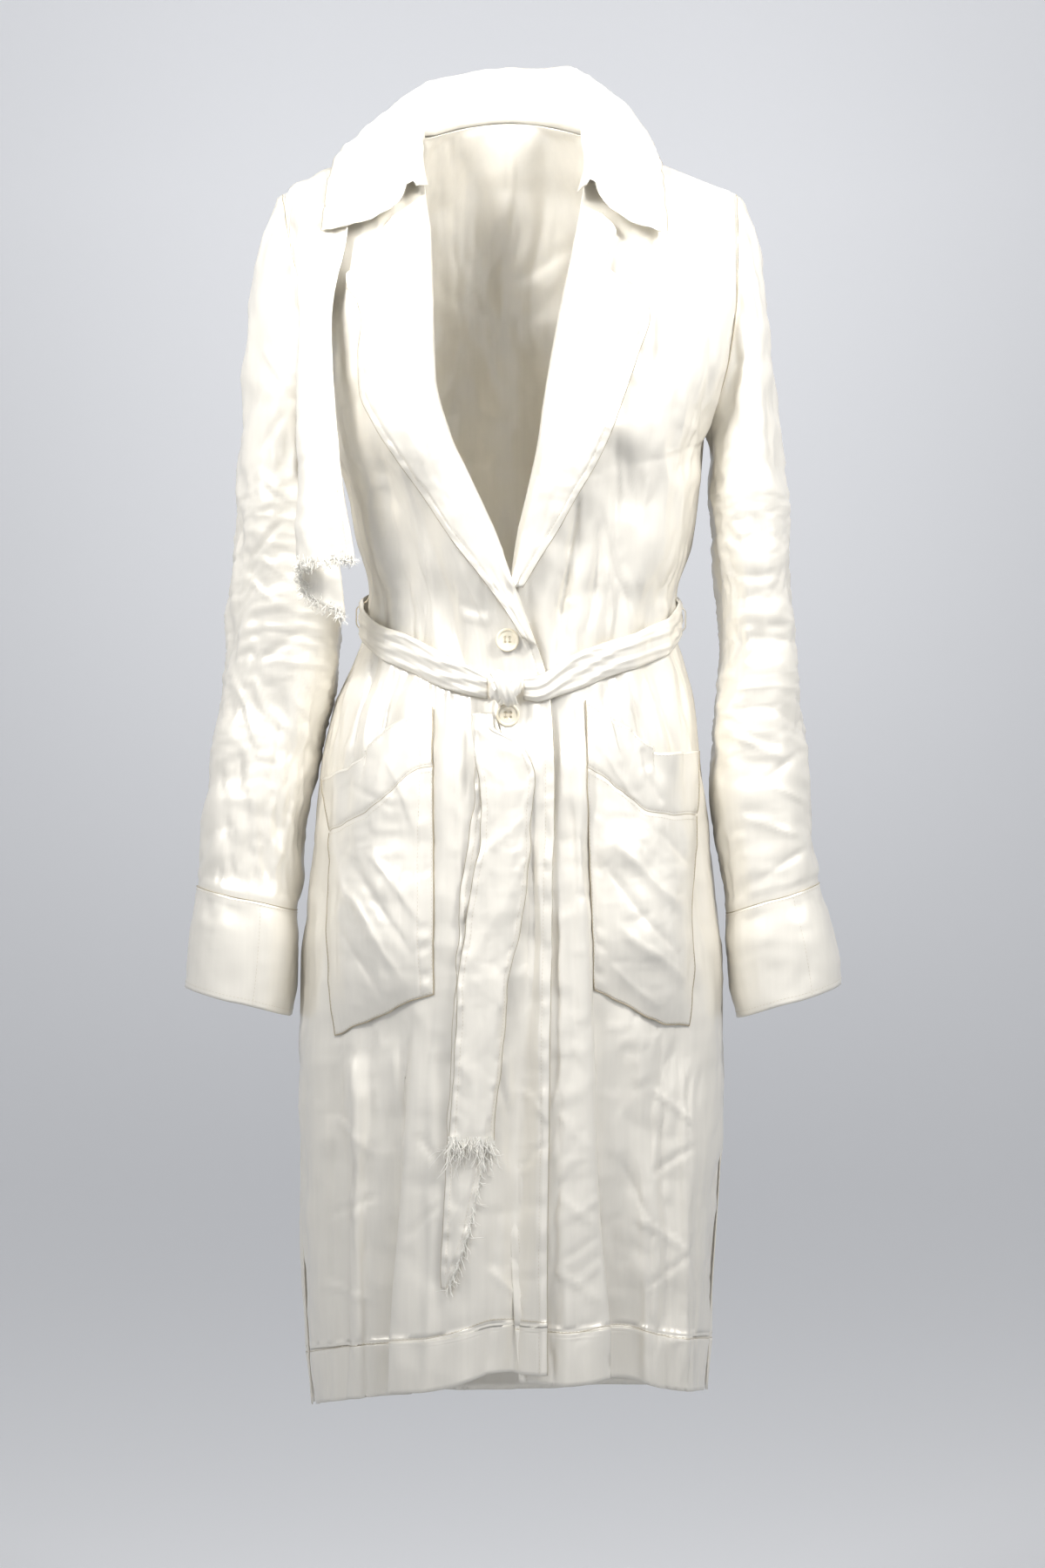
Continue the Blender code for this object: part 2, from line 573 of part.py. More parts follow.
def along(points, s):
    pts = np.array(points, float) * MM
    d = np.concatenate([[0], np.cumsum(np.linalg.norm(np.diff(pts, axis=0), axis=1))])
    return np.stack([np.interp(s * d[-1], d, pts[:, k]) for k in range(2)], 1)


def place_on_front(side, xz):
    """The place (u, v) on a front panel that shows at each x, z."""
    us, vs = np.linspace(0, 1, 361), np.linspace(1.15, 1.75, 361)
    uu, vv = np.meshgrid(us, vs)
    g = sample(FACE[side], uu, vv, FINE_U, FINE_V)
    out = np.zeros(xz.shape)
    for k in np.ndindex(xz.shape[:-1]):
        d = (g[..., 0] - xz[k][0]) ** 2 + (g[..., 2] - xz[k][1]) ** 2
        i = np.unravel_index(np.argmin(d), d.shape)
        out[k] = uu[i], vv[i]
    return out


def pocket(name, side, cols=10, rows=10):
    o = POCKETS[side]
    s, t = np.linspace(0, 1, cols), np.linspace(0, 1, rows)
    top, foot, inner, outer = (along(o[k], a) for k, a in
                               (("top", s), ("foot", s), ("inner", t), ("outer", t)))
    S, T = np.meshgrid(s, t)
    g = ((1 - T)[..., None] * top[None] + T[..., None] * foot[None]
         + (1 - S)[..., None] * inner[:, None] + S[..., None] * outer[:, None]
         - ((1 - S) * (1 - T))[..., None] * top[0] - (S * (1 - T))[..., None] * top[-1]
         - ((1 - S) * T)[..., None] * foot[0] - (S * T)[..., None] * foot[-1])
    uv = place_on_front(side, g)
    face = sample(FACE[side], uv[..., 0], uv[..., 1], FINE_U, FINE_V)
    out = sample(OUT[side], uv[..., 0], uv[..., 1], FINE_U, FINE_V)
    out /= np.linalg.norm(out, axis=2, keepdims=True)
    mouth = np.sin(np.pi * np.clip(S * 1.02, 0, 1) ** 1.3) * np.clip(1 - T * 2.6, 0, 1) * 0.010
    sag = np.sin(np.pi * S) ** 0.8 * np.sin(np.pi * np.clip(T * .97, 0, 1) ** 1.4) * 0.009
    lift = WALL + 0.0012 + mouth + sag
    p = face + out * lift[..., None]
    p = clear(p, on_fronts, -side)
    return shell(name, p, -side)


pockets = [pocket("pocket_right", -1), pocket("pocket_left", 1)]

# ---------------------------------------------------------------- storm flap, right shoulder
# down the flap: five points across it, free edge, front, fold, back, back edge (mm)
FLAP = [[(-138, -8, -10), (-169, -9, -23), (-196, -14, -35), (-201, -17, -41), (-203, -24, -48)],
        [(-146, -101, -92), (-168, -102, -94), (-192, -95, -98), (-193, -87, -105), (-188, -81, -113)],
        [(-158, -124, -168), (-172, -125, -170), (-188, -116, -176), (-185, -101, -184), (-173, -92, -190)],
        [(-152, -137, -282), (-170, -140, -284), (-190, -130, -288), (-184, -114, -300), (-160, -105, -310)],
        [(-137, -142, -384), (-164, -144, -387), (-190, -134, -391), (-185, -116, -413), (-147, -106, -434)]]


def flap_grid(rows, cols):
    f = np.array(FLAP, float) * MM
    c0, r0 = np.linspace(0, 1, 5), np.array([0, .22, .42, .70, 1.0])
    a = np.stack([np.stack([smooth(c0, f[i, :, k], cols) for k in range(3)], 1) for i in range(5)])
    out = np.zeros((len(rows), len(cols), 3))
    for j in range(len(cols)):
        for k in range(3):
            out[:, j, k] = smooth(r0, a[:, j, k], rows)
    return out


FLAP_R = np.array([0, .06, .12, .20, .30, .42, .54, .66, .78, .89, 1.0])
FLAP_C = np.array([0, .12, .25, .36, .44, .50, .56, .64, .75, .88, 1.0])
flap_points = clear(flap_grid(FLAP_R, FLAP_C), tree(*fronts.values(), lapel_right), 1, push=(0, -.7, .4))
storm_flap = shell("storm_flap", flap_points, 1)

# ---------------------------------------------------------------- collar
# stations from the wearer's right front end round the neck to the left one (mm):
# b = neck seam, f = fold, o = outer edge, sag = droop of the fall between, puff = its swell
COLLAR = table("s bx by bz fx fy fz ox oy oz sag puff",
               (-1.00, -74, -76, -44, -84, -86, -45, -168, -108, -88, 17, 2),
               (-0.85, -78.5, -48, -15, -83, -54, -7, -166, -76, -60, 7, 4),
               (-0.70, -79.5, -25, 0.8, -83, -26, 18, -163, -40, -30, 0, 5),
               (-0.50, -78.2, 2, 11.2, -82, 0, 46, -156, -4, -5, 0, 3),
               (-0.33, -68, 29.5, 16.0, -77, 27, 58, -136, 44, 8, 0, 3),
               (-0.17, -42, 49.3, 25.1, -50, 50, 68, -84, 84, 16, 0, 3),
               (0.00, 0, 57.8, 30.8, 0, 60, 78, 0, 102, 16, 0, 3),
               (0.17, 42, 49.3, 25.1, 46, 50, 78, 80, 84, 16, 0, 4),
               (0.33, 67, 29.5, 16.4, 62, 27, 68, 120, 46, 16, 0, 8),
               (0.50, 74.4, 2, 13.2, 63, 0, 52, 127, -4, 9, 0, 11),
               (0.70, 72.4, -28, 1, 66, -30, 14, 137, -40, -18, 0, 9),
               (0.85, 67.6, -55, -25, 68, -60, -14, 141, -72, -58, 7, 6),
               (1.00, 62, -84, -52, 70, -92, -44, 142, -108, -92, 18, 3))
COLLAR_S = np.array([-1, -.92, -.84, -.74, -.62, -.50, -.40, -.30, -.20, -.10, 0,
                     .10, .20, .30, .40, .50, .62, .74, .84, .92, 1.0])


def collar_grid(stations, fall=(.18, .38, .60, .80, 1.0), stand=(0, .5)):
    c = {k: smooth(COLLAR["s"], COLLAR[k] * MM, stations) for k in COLLAR if k != "s"}
    b, f, o = (np.stack([c[k + a] for a in "xyz"], 1) for k in "bfo")
    away = (o - f) * np.array([1, 1, 0.0])
    away /= np.linalg.norm(away, axis=1, keepdims=True)
    up = np.array([0, 0, 1.0])
    rows = [b + (f - b) * t for t in stand]
    rows += [f - up * .001, f + up * .0035 + away * .003, f + away * .0075 + up * .0005]
    start = rows[-1]
    for t in fall:
        p = start + (o - start) * t
        swell = (c["puff"] * math.sin(math.pi * t))[:, None]
        p = p + (up * .8 + away * .5) * swell - up * (c["sag"] * math.sin(math.pi * t ** .6))[:, None]
        rows.append(p)
    return np.array(rows)


cg = collar_grid(COLLAR_S)
under_collar = tree(*fronts.values(), back, lapel_left, lapel_right, storm_flap)
fall = clear(cg[4:], under_collar, -1, push=(0, -.5, .86), wall=.002)
cg[4:] = fall
collar = shell("collar", cg, -1, wall=.002)

# ---------------------------------------------------------------- belt
# height of the belt's middle round the waist, by the turn from the front towards the left side
BELT_Z = table("turn z",
               (-180, -415), (-120, -418), (-92, -428), (-75, -440), (-60, -455), (-45, -466),
               (-25, -486), (-8, -499), (8, -500), (20, -489), (38, -474), (55, -462),
               (75, -445), (92, -430), (120, -418), (180, -415))
worn = tree(*fronts.values(), back, lapel_left, lapel_right, *pockets)


def reach(under, a, z):
    """How far out the coat reaches at turn a and height z, from the middle of the waist."""
    d = Vector((math.sin(a), -math.cos(a), 0))
    hit = under.ray_cast(Vector((0.005, 0, z)) + d * 0.5, -d)
    return (hit[0] - Vector((0.005, 0, z))).length if hit[0] is not None else 0.1


def belt_rings(turns, half, thick, clearance=.0022):
    z = smooth(BELT_Z["turn"], BELT_Z["z"] * MM, np.degrees(turns))
    r = np.array([max(reach(worn, a + da, zz + dz) for dz in np.linspace(-half, half, 5)
                      for da in (-.04, 0, .04)) for a, zz in zip(turns, z)]) + clearance
    for _ in range(3):
        r[1:-1] = np.maximum(r[1:-1], .5 * (r[:-2] + r[2:]))
    rings = []
    for a, zz, rr in zip(turns, z, r):
        rings.append([(0.005 + math.sin(a) * (rr + dr), -math.cos(a) * (rr + dr), zz + dz)
                      for dr, dz in ((0, half), (thick * .7, half * .86), (thick, 0),
                                     (thick * .7, -half * .86), (0, -half))])
    return np.array(rings)


def loft(name, rings):
    """A solid through closed rings, capped at its ends."""
    rings = np.asarray(rings, float)
    k, m = rings.shape[:2]
    faces = []
    for i in range(k - 1):
        for j in range(m):
            a, b = i * m + j, i * m + (j + 1) % m
            faces += [(a, b, b + m), (a, b + m, a + m)]
    faces.append(tuple(range(m))[::-1])
    faces.append(tuple(range((k - 1) * m, k * m)))
    return solid(name, rings.reshape(-1, 3), faces)


KNOT = dict(x=-.0032, z=-.4988, half_x=.0156, half_z=.0150, half_y=.0105)
KNOT_TURN_R, KNOT_TURN_L = -.188, .062     # where the belt meets the knot
turns = np.concatenate([np.linspace(KNOT_TURN_L, 1.2, 12), np.linspace(1.35, 2 * math.pi - 1.35, 22),
                        np.linspace(2 * math.pi - 1.2, 2 * math.pi + KNOT_TURN_R, 12)])
turns = (turns + math.pi) % (2 * math.pi) - math.pi
belt = loft("belt", belt_rings(turns, BELT_TIED_W / 2, .0052))

# knot: a rounded lump with the wrap of the band round it
front_at_knot = min(front_y(worn, KNOT["x"] + dx, KNOT["z"] + dz) for dx in (-.014, 0, .014)
                    for dz in (-.016, 0, .016))
KNOT_Y = front_at_knot - KNOT["half_y"] - .0005


def knot_rings(rings=9, around=14):
    out = []
    for i in range(rings):
        t = math.pi * (i + .35) / (rings - .3)
        x, w = -math.cos(t), math.sin(t) ** .75
        ring = []
        for j in range(around):
            a = 2 * math.pi * j / around
            groove = 1 - .16 * math.exp(-((x - .5 * math.sin(a) - .1) / .16) ** 2)
            ring.append((KNOT["x"] + KNOT["half_x"] * x,
                         KNOT_Y + KNOT["half_y"] * w * groove * math.cos(a),
                         KNOT["z"] + KNOT["half_z"] * w * groove * math.sin(a)
                         + .003 * x))
        out.append(ring)
    return out


knot = loft("belt_knot", knot_rings())

# ends of the belt: left and right edge down the front (mm), and a little turn of the band
END_BACK = table("z left right turn",
                 (-520, -30, -14, 0), (-560, -29, 0, 3), (-600, -31, 6, 4), (-675, -42, 2, 0),
                 (-782, -48, -6, 0), (-860, -53, -14, 1), (-912, -56, -22, 0),
                 (-955, -58, -31, 0), (-985, -59, -37, 0), (-1012, -60, -46, 0), (-1032, -60, -54, 0))
END_FRONT = table("z left right turn",
                  (-521, -33, -14, 0), (-533, -33, -13.5, 1), (-549, -31, 12, 3), (-575, -28, 22, 3),
                  (-613, -24, 20, 2), (-680, -34, 15, 0), (-705, -38, 11, 0), (-766, -45, -1, -1),
                  (-830, -49, -7, 0), (-880, -51, -12, 1), (-903, -53, -13, 0))


def band_end(name, tab, under, lift, across=(0, .25, .5, .75, 1.0)):
    zs = tab["z"] * MM
    g = np.zeros((len(zs), len(across), 3))
    for i, z in enumerate(zs):
        for j, c in enumerate(across):
            x = (tab["left"][i] + (tab["right"][i] - tab["left"][i]) * c) * MM
            y = front_y(under, x, z, -.12) - lift - WALL
            g[i, j] = (x, y + tab["turn"][i] * MM * (c - .5), z)
    for _ in range(6):
        y = g[..., 1].copy()
        g[1:-1, :, 1] = np.minimum(y[1:-1], .5 * (y[:-2] + y[2:]))
        y = g[..., 1].copy()
        g[:, 1:-1, 1] = np.minimum(y[:, 1:-1], .5 * (y[:, :-2] + y[:, 2:]))
    g = clear(g, under, -1, push=(0, -1, 0))
    return shell(name, g, -1), g


end_back, end_back_grid = band_end("belt_end_back", END_BACK, tree(*fronts.values(), knot, belt), .0018)
end_front, end_front_grid = band_end("belt_end_front", END_FRONT,
                                     tree(*fronts.values(), knot, belt, end_back), .0018)


# ---------------------------------------------------------------- frayed edges
def fringe(name, line, down, lengths, strands, thick=.0012, strip=.0016, part=.0004):
    """Strands growing from the underside of a narrow strip that follows a cloth's edge."""
    line, down = np.asarray(line, float), np.asarray(down, float)
    d = np.concatenate([[0], np.cumsum(np.linalg.norm(np.diff(line, axis=0), axis=1))])
    s = np.linspace(0, d[-1], strands + 1)
    p = np.stack([np.interp(s, d, line[:, k]) for k in range(3)], 1)
    g = np.stack([np.interp(s, d, down[:, k]) for k in range(3)], 1)
    g /= np.linalg.norm(g, axis=1, keepdims=True)
    t = np.gradient(p, axis=0)
    t /= np.linalg.norm(t, axis=1, keepdims=True)
    n = np.cross(t, g)
    n /= np.linalg.norm(n, axis=1, keepdims=True)
    verts = []
    for k in range(strands + 1):
        a = p[k] + g[k] * part
        verts += [a - n[k] * thick / 2, a + n[k] * thick / 2,
                  a + n[k] * thick / 2 + g[k] * strip, a - n[k] * thick / 2 + g[k] * strip]
    faces = [(3, 2, 1, 0), tuple(4 * strands + c for c in range(4))]
    for k in range(strands):
        a, b = 4 * k, 4 * k + 4
        for i, j in ((0, 1), (1, 2), (3, 0)):
            faces.append((a + i, a + j, b + j, b + i))
        root = [a + 2, a + 3, b + 3, b + 2]
        mid = (p[k] + p[k + 1]) / 2
        gm, tm, nm = g[k] + g[k + 1], t[k], n[k]
        gm = gm / np.linalg.norm(gm)
        f = (k + .5) / strands
        ln = lengths(f) * (.72 + .28 * math.sin(k * 2.4) ** 2)
        tip = mid + gm * (part + strip + ln) + tm * min(ln * .12, .0009) * math.sin(k * 1.7)
        w = .22 * np.linalg.norm(p[k + 1] - p[k])
        at = len(verts)
        for c, q in ((-1, 1), (-1, -1), (1, -1), (1, 1)):
            verts.append(tip + tm * w * c + nm * .0004 * q)
        tips = [at, at + 1, at + 2, at + 3]
        for i in range(4):
            faces.append((root[i], root[(i + 1) % 4], tips[(i + 1) % 4], tips[i]))
        faces.append(tuple(tips))
    return solid(name, verts, faces)


hem = flap_points[-1] + (flap_points[-1] - flap_points[-2]) * 0
hem_down = flap_points[-1] - flap_points[-2]
flap_mid = hem - normals(flap_points)[-1] * WALL / 2
fringe("storm_flap_fringe", flap_mid, hem_down, lambda f: .009 + .003 * math.sin(9 * f), 34,
       part=.0009)
low = end_front_grid[-1] + np.array([0, WALL / 2, 0])
fringe("belt_fringe_front", low, end_front_grid[-1] - end_front_grid[-2],
       lambda f: .018 + .016 * math.sin(math.pi * f), 16)
side_line = end_back_grid[-4:, -1] + np.array([0, WALL / 2, 0])
fringe("belt_fringe_back", side_line, np.array([(.8, 0, -.6)] * 4), lambda f: .009 + .004 * math.sin(5 * f), 20,
       part=.0009)


# ---------------------------------------------------------------- belt loops
def loop(name, turn, wide, thick, tall, out):
    """A strip standing over the belt, its ends on the coat just above and below it."""
    z0 = float(smooth(BELT_Z["turn"], BELT_Z["z"] * MM, math.degrees(turn)))
    d = np.array([math.sin(turn), -math.cos(turn), 0])
    tang = np.array([math.cos(turn), math.sin(turn), 0])
    base = np.array([0.005, 0, 0])
    far = max(reach(worn, turn, z0 + k) for k in (-.014, 0, .014)) + out
    near = [reach(worn, turn, z0 + k) + .0008 for k in (tall, -tall)]
    path = [(near[0], tall), (far - .002, tall - .001), (far, tall - .005), (far, -tall + .005),
            (far - .002, -tall + .001), (near[1], -tall)]
    rings = []
    for i, (r, dz) in enumerate(path):
        a, b = path[max(i - 1, 0)], path[min(i + 1, len(path) - 1)]
        tv = np.array([b[0] - a[0], b[1] - a[1]])
        tv /= np.linalg.norm(tv)
        nv = np.array([-tv[1], tv[0]]) * thick / 2
        c = base + d * r + np.array([0, 0, z0 + dz])
        off = d * nv[0] + np.array([0, 0, nv[1]])
        rings.append([c + off + tang * wide / 2, c + off - tang * wide / 2,
                      c - off - tang * wide / 2, c - off + tang * wide / 2])
    return loft(name, rings)


loop("belt_loop_right", math.radians(-88), .0022, .0016, .021, .0086)
loop("belt_loop_left", math.radians(88), .010, .0016, .020, .0088)


# ---------------------------------------------------------------- buttons
def button(name, x, z, y_front):
    prof = ((0.0, .0008), (.0074, .0010), (.0082, 0), (.0098, 0), (.0105, .0012), (.0100, .0028),
            (.0060, .0036), (0, .0036))
    seg = 22
    rings, verts, faces = [], [], []
    for r, d in prof:
        if r == 0:
            rings.append([len(verts)])
            verts.append((x, y_front - BUTTON_H + d, z))
        else:
            rings.append(list(range(len(verts), len(verts) + seg)))
            verts += [(x + r * math.cos(a), y_front - BUTTON_H + d, z + r * math.sin(a))
                      for a in (2 * math.pi * k / seg for k in range(seg))]
    for a, b in zip(rings[:-1], rings[1:]):
        for k in range(seg):
            m = (k + 1) % seg
            q = [a[k % len(a)], a[m % len(a)], b[m % len(b)], b[k % len(b)]]
            q = list(dict.fromkeys(q))
            faces.append(tuple(q))
    ob = solid(name, verts, faces)
    for k, (dx, dz) in enumerate(((1, 1), (-1, 1), (-1, -1), (1, -1))):
        hole = solid(name + "_hole_%d" % k,
                     [(x + .0024 * dx + .0010 * math.cos(a), y_front + yy, z + .0024 * dz + .0010 * math.sin(a))
                      for yy in (-.009, .004) for a in (2 * math.pi * c / 6 for c in range(6))],
                     [tuple(range(5, -1, -1)), tuple(range(6, 12))]
                     + [(c, (c + 1) % 6, 6 + (c + 1) % 6, 6 + c) for c in range(6)])
        hole.hide_render = True
        hole.display_type = "WIRE"
        mod = ob.modifiers.new("hole %d" % k, "BOOLEAN")
        mod.operation, mod.solver, mod.object = "DIFFERENCE", "EXACT", hole
    return ob


def face_near(under, x, z, r):
    return min(front_y(under, x + r * math.cos(a), z + r * math.sin(a)) for a in
               (2 * math.pi * k / 12 for k in range(12)))


dressed = tree(*fronts.values(), lapel_right)
for name, x, z in (("button_top", -.0015, -.4554), ("button_bottom", -.0010, -.5225)):
    button(name, x, z, face_near(dressed, x, z, .0060) - .0003)
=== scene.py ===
"""The looks of an ivory satin trench coat in its worn shape: fine cloth round the fixed frame.

Metres, +Z up, the front faces -Y; side -1 is the wearer's right, 1 the left. Tables are in
millimetres. Each cloth is drawn on a fine grid, then creased, puckered at its seams and sewn.
"""
import math

import bmesh
import bpy
import numpy as np
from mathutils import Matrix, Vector
from mathutils.bvhtree import BVHTree


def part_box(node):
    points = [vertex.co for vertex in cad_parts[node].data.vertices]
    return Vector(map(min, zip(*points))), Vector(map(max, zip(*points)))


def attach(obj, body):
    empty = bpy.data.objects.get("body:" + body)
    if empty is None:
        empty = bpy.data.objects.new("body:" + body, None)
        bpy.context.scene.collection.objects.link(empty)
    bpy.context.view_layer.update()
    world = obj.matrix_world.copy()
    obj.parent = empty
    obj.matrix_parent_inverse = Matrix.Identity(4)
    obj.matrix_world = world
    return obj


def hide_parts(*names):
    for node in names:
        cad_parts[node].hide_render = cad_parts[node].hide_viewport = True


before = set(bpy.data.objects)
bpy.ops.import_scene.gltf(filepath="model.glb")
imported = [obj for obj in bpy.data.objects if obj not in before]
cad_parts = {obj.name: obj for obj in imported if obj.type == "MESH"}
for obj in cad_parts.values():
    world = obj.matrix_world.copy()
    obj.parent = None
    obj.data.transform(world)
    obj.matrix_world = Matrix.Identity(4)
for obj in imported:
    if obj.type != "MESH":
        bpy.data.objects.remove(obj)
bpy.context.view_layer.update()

MM, PI = 0.001, math.pi
WALL = 0.0011                                   # thickness of the cloth
ARM_DEPTH_HALF, ARM_Y_HALF = 0.111, 0.064       # half the armhole's height and depth
SIDE_SEAM_TOP = -0.264
HEM, BACK_HEM = {-1: -1.1536, 1: -1.140}, -1.158
OPEN_BELOW = -1.09                              # a fold whose foot is lower runs out over the hem
LAP_WIDE = 0.012
XS = {-1: "x_right", 1: "x_left"}
WORD = {-1: "right", 1: "left"}


# ---------------------------------------------------------------- numbers and tables
def table(heads, rows):
    """A table by its column names; semicolons part its rows."""
    cells = np.array([[float(c) for c in row.split()] for row in rows.split(";")])
    return dict(zip(heads.split(), cells.T))


def smooth(xs, ys, x):
    """Value of a column at x, without overshoot between rows."""
    xs, ys = np.asarray(xs, float), np.asarray(ys, float)
    if xs[0] > xs[-1]:
        xs, ys = xs[::-1], ys[::-1]
    h = np.diff(xs)
    d = np.diff(ys) / h
    m = np.zeros_like(ys)
    both = d[:-1] * d[1:]
    m[1:-1] = np.where(both > 0, 2 * both / np.where(both > 0, d[:-1] + d[1:], 1.0), 0)
    m[0], m[-1] = d[0], d[-1]
    x = np.clip(x, xs[0], xs[-1])
    i = np.clip(np.searchsorted(xs, x, side="right") - 1, 0, len(xs) - 2)
    t = (x - xs[i]) / h[i]
    return ((1 + 2 * t) * (1 - t) ** 2 * ys[i] + t * (1 - t) ** 2 * h[i] * m[i]
            + t * t * (3 - 2 * t) * ys[i + 1] + t * t * (t - 1) * h[i] * m[i + 1])


def read(tab, name, z):
    """A column at the height z."""
    return smooth(tab["z"] * MM, tab[name] * MM, z)


def read_v(tab, name, v):
    """A column at the place v down a panel."""
    return smooth(tab["v"], tab[name] * MM, v)


def in_metres(tab):
    return zip(*(tab[c] * (1 if c == "fade" else MM) for c in tab))


def part(x):
    return np.clip(x, 0, 1)


def ease(t):
    return t * t * (3 - 2 * t)


def bell(x, at, wide):
    return np.exp(-((x - at) / wide) ** 2)


def step_down(x, at, wide):
    """1 below a place and 0 above it, over a short width."""
    return 1 / (1 + np.exp(np.clip((x - at) / wide, -30, 30)))


def window(x, lo, hi, soft):
    """1 between lo and hi, fading over soft on either side."""
    return ease(part((x - lo) / soft + .5)) * ease(part((hi - x) / soft + .5))


def unit(v):
    return v / np.maximum(np.linalg.norm(v, axis=-1, keepdims=True), 1e-12)


def run(p):
    """Length along a line up to each of its points."""
    return np.concatenate([[0], np.cumsum(np.linalg.norm(np.diff(p, axis=0), axis=1))])


def on_line(x, xs, pts):
    """Points of a line at the lengths x."""
    return np.stack([np.interp(x, xs, pts[:, k]) for k in range(pts.shape[1])], 1)


def normals(p, closed=False):
    """Outward turn of a grid: along the rows by down the rows."""
    du = np.roll(p, -1, 1) - np.roll(p, 1, 1) if closed else np.gradient(p, axis=1)
    return unit(np.cross(du, np.gradient(p, axis=0)))


def out_by(p, n, h):
    return p + n * h[..., None]


# heights of the side seams and the back
SIDE = table("z x_right x_left back back_n", """
    -264 -161 179 108 2.5; -300 -150 176 106 2.5; -364 -138 168 98 2.4; -408 -129 154 90 2.3;
    -444 -133 153 88 2.2; -470 -142 159 94 2.2; -509 -159 169 110 2.2; -552 -168 174 124 2.3;
    -640 -178 183 136 2.4; -784 -191 196 140 2.4; -900 -192 195 141 2.4; -1040 -189 187 142 2.4;
    -1154 -181 180 143 2.4""")
ARM = table("z x_right x_left", """
    -42 -206 206; -90 -198 206; -140 -186 205; -200 -171 198; -264 -161 179""")

# front edges: neck seam, roll line, then the straight edge; v is the place down the panel
EDGES = {-1: table("v x y z n", """
    0 -79 0 10 2; .08 -81 -36 -5 2; .2 -76 -72 -48 2.1; .32 -70 -95 -90 2.2; .46 -68 -113 -139 2.3;
    .58 -67 -122 -175 2.4; .72 -65 -129 -222 2.5; .87 -52 -131 -272 2.5; 1 -34 -131 -311 2.5;
    1.06 -11 -129 -361 2.4; 1.1 1 -127 -396 2.3; 1.16 18 -122 -441 2.2; 1.22 33 -120 -486 2.2;
    1.26 37 -126 -510 2.2; 1.34 40 -140 -584 2.3; 1.54 38 -145 -739 2.4; 1.73 36 -148 -894 2.4;
    1.92 34 -150 -1048 2.4; 2 34 -150 -1109 2.4"""),
         1: table("v x y z n", """
    0 75 0 12 2; .1 72 -42 -10 2; .24 63 -78 -70 2.1; .36 55 -98 -110 2.2; .54 43 -115 -171 2.4;
    .7 34 -122 -222 2.5; .9 25 -124 -282 2.5; 1.01 16 -124 -323 2.5; 1.06 7 -120 -362 2.4;
    1.1 2 -118 -393 2.3; 1.15 -5 -115 -430 2.2; 1.2 -11 -112 -474 2.2; 1.25 -16 -117 -507 2.2;
    1.34 -17 -131 -584 2.3; 1.54 -11 -137 -739 2.4; 1.73 -3 -140 -894 2.4; 1.92 4 -142 -1049 2.4;
    2 9 -142 -1116 2.4""")}

# soft folds: a line down the cloth, cross width, height out, fades (share of the line)
FOLDS = {-1: table("x0 z0 x1 z1 wide out fade", """
    -118 -262 -84 -462 13 -6 .35; -92 -312 -40 -482 11 -5 .35; -100 -225 -95 -330 40 8 .45;
    -120 -470 -150 -590 8 5 .35; -103 -474 -125 -600 8 -5 .35; -88 -480 -100 -590 7 4 .35;
    -56 -500 -60 -800 10 4 .4; 24 -590 4 -1100 13 -7 .15; -35 -700 -45 -1130 22 5 .2;
    -160 -820 -158 -1150 9 -5 .2; -140 -800 -138 -1150 9 4 .2"""),
         1: table("x0 z0 x1 z1 wide out fade", """
    66 -314 40 -480 11 -7 .35; 86 -326 72 -450 9 -4 .35; 100 -262 98 -366 16 -6 .4;
    95 -215 92 -320 38 8 .45; 92 -502 112 -600 9 5 .35; 108 -502 128 -590 7 -4 .35;
    122 -490 146 -590 8 5 .35; 58 -520 56 -1125 12 6 .15; 120 -810 118 -1150 17 -8 .15;
    165 -820 160 -1150 9 5 .2""")}
FOLDS_BACK = table("x0 z0 x1 z1 wide out fade", """
    -120 -452 -136 -620 10 5 .4; -95 -448 -104 -610 9 -4 .4; -70 -452 -80 -1154 16 8 .25;
    -30 -450 -34 -620 12 -5 .4; 0 -560 2 -1154 20 7 .3; 32 -450 36 -640 12 -5 .4;
    74 -452 84 -1154 16 8 .25; 104 -450 112 -610 9 -4 .4; 126 -454 142 -640 10 5 .4;
    -42 -700 -46 -1154 17 -7 .3; 42 -720 46 -1154 17 -7 .3; -60 -240 -66 -430 20 6 .4;
    62 -240 66 -430 20 6 .4; 0 -120 0 -430 26 -5 .5""")

# deep folds that turn back under themselves: line of the fold, how far it laps, how deep
LAPS = {-1: table("z x laps deep", """
    -760 -86 0 0; -868 -92 7 13; -956 -98 9 18; -1067 -102 16 25; -1170 -103 18 27"""),
        1: table("z x laps deep", """
    -500 68 0 0; -640 72 4 8; -762 76 7 12; -904 76 12 18; -1001 79 16 23; -1076 82 20 27;
    -1170 83 22 28""")}

SLEEVE = {-1: table("z x half_x y half_y tilt", """
    -320 -206 45 4 68 6; -380 -207 49 6 67 8; -435 -208 52 8 66 8; -488 -211 52 6 64 8;
    -530 -220 50 2 62 8; -584 -228 48 -4 60 10; -632 -234 47 -8 57 16; -690 -240 45 -12 54 22"""),
          1: table("z x half_x y half_y tilt", """
    -320 217 36 4 74 6; -380 222 36 6 73 8; -435 226 36 8 70 8; -488 229 37 6 67 8;
    -530 229 40 2 64 10; -584 230 45 -4 60 12; -632 233 45 -8 57 20; -690 241 42 -12 54 28""")}
CUFF = {-1: table("z x half_x y half_y tilt", """
    -690.7 -240 45 -12 54 22; -722 -242 48 -13 57 23; -756 -245 49 -13 58 25; -782 -248 48 -13 58 27"""),
        1: table("z x half_x y half_y tilt", """
    -690.7 241 42 -12 54 28; -722 246 47 -13 57 29; -756 252 49 -13 58 31; -782 256 47 -13 58 31""")}
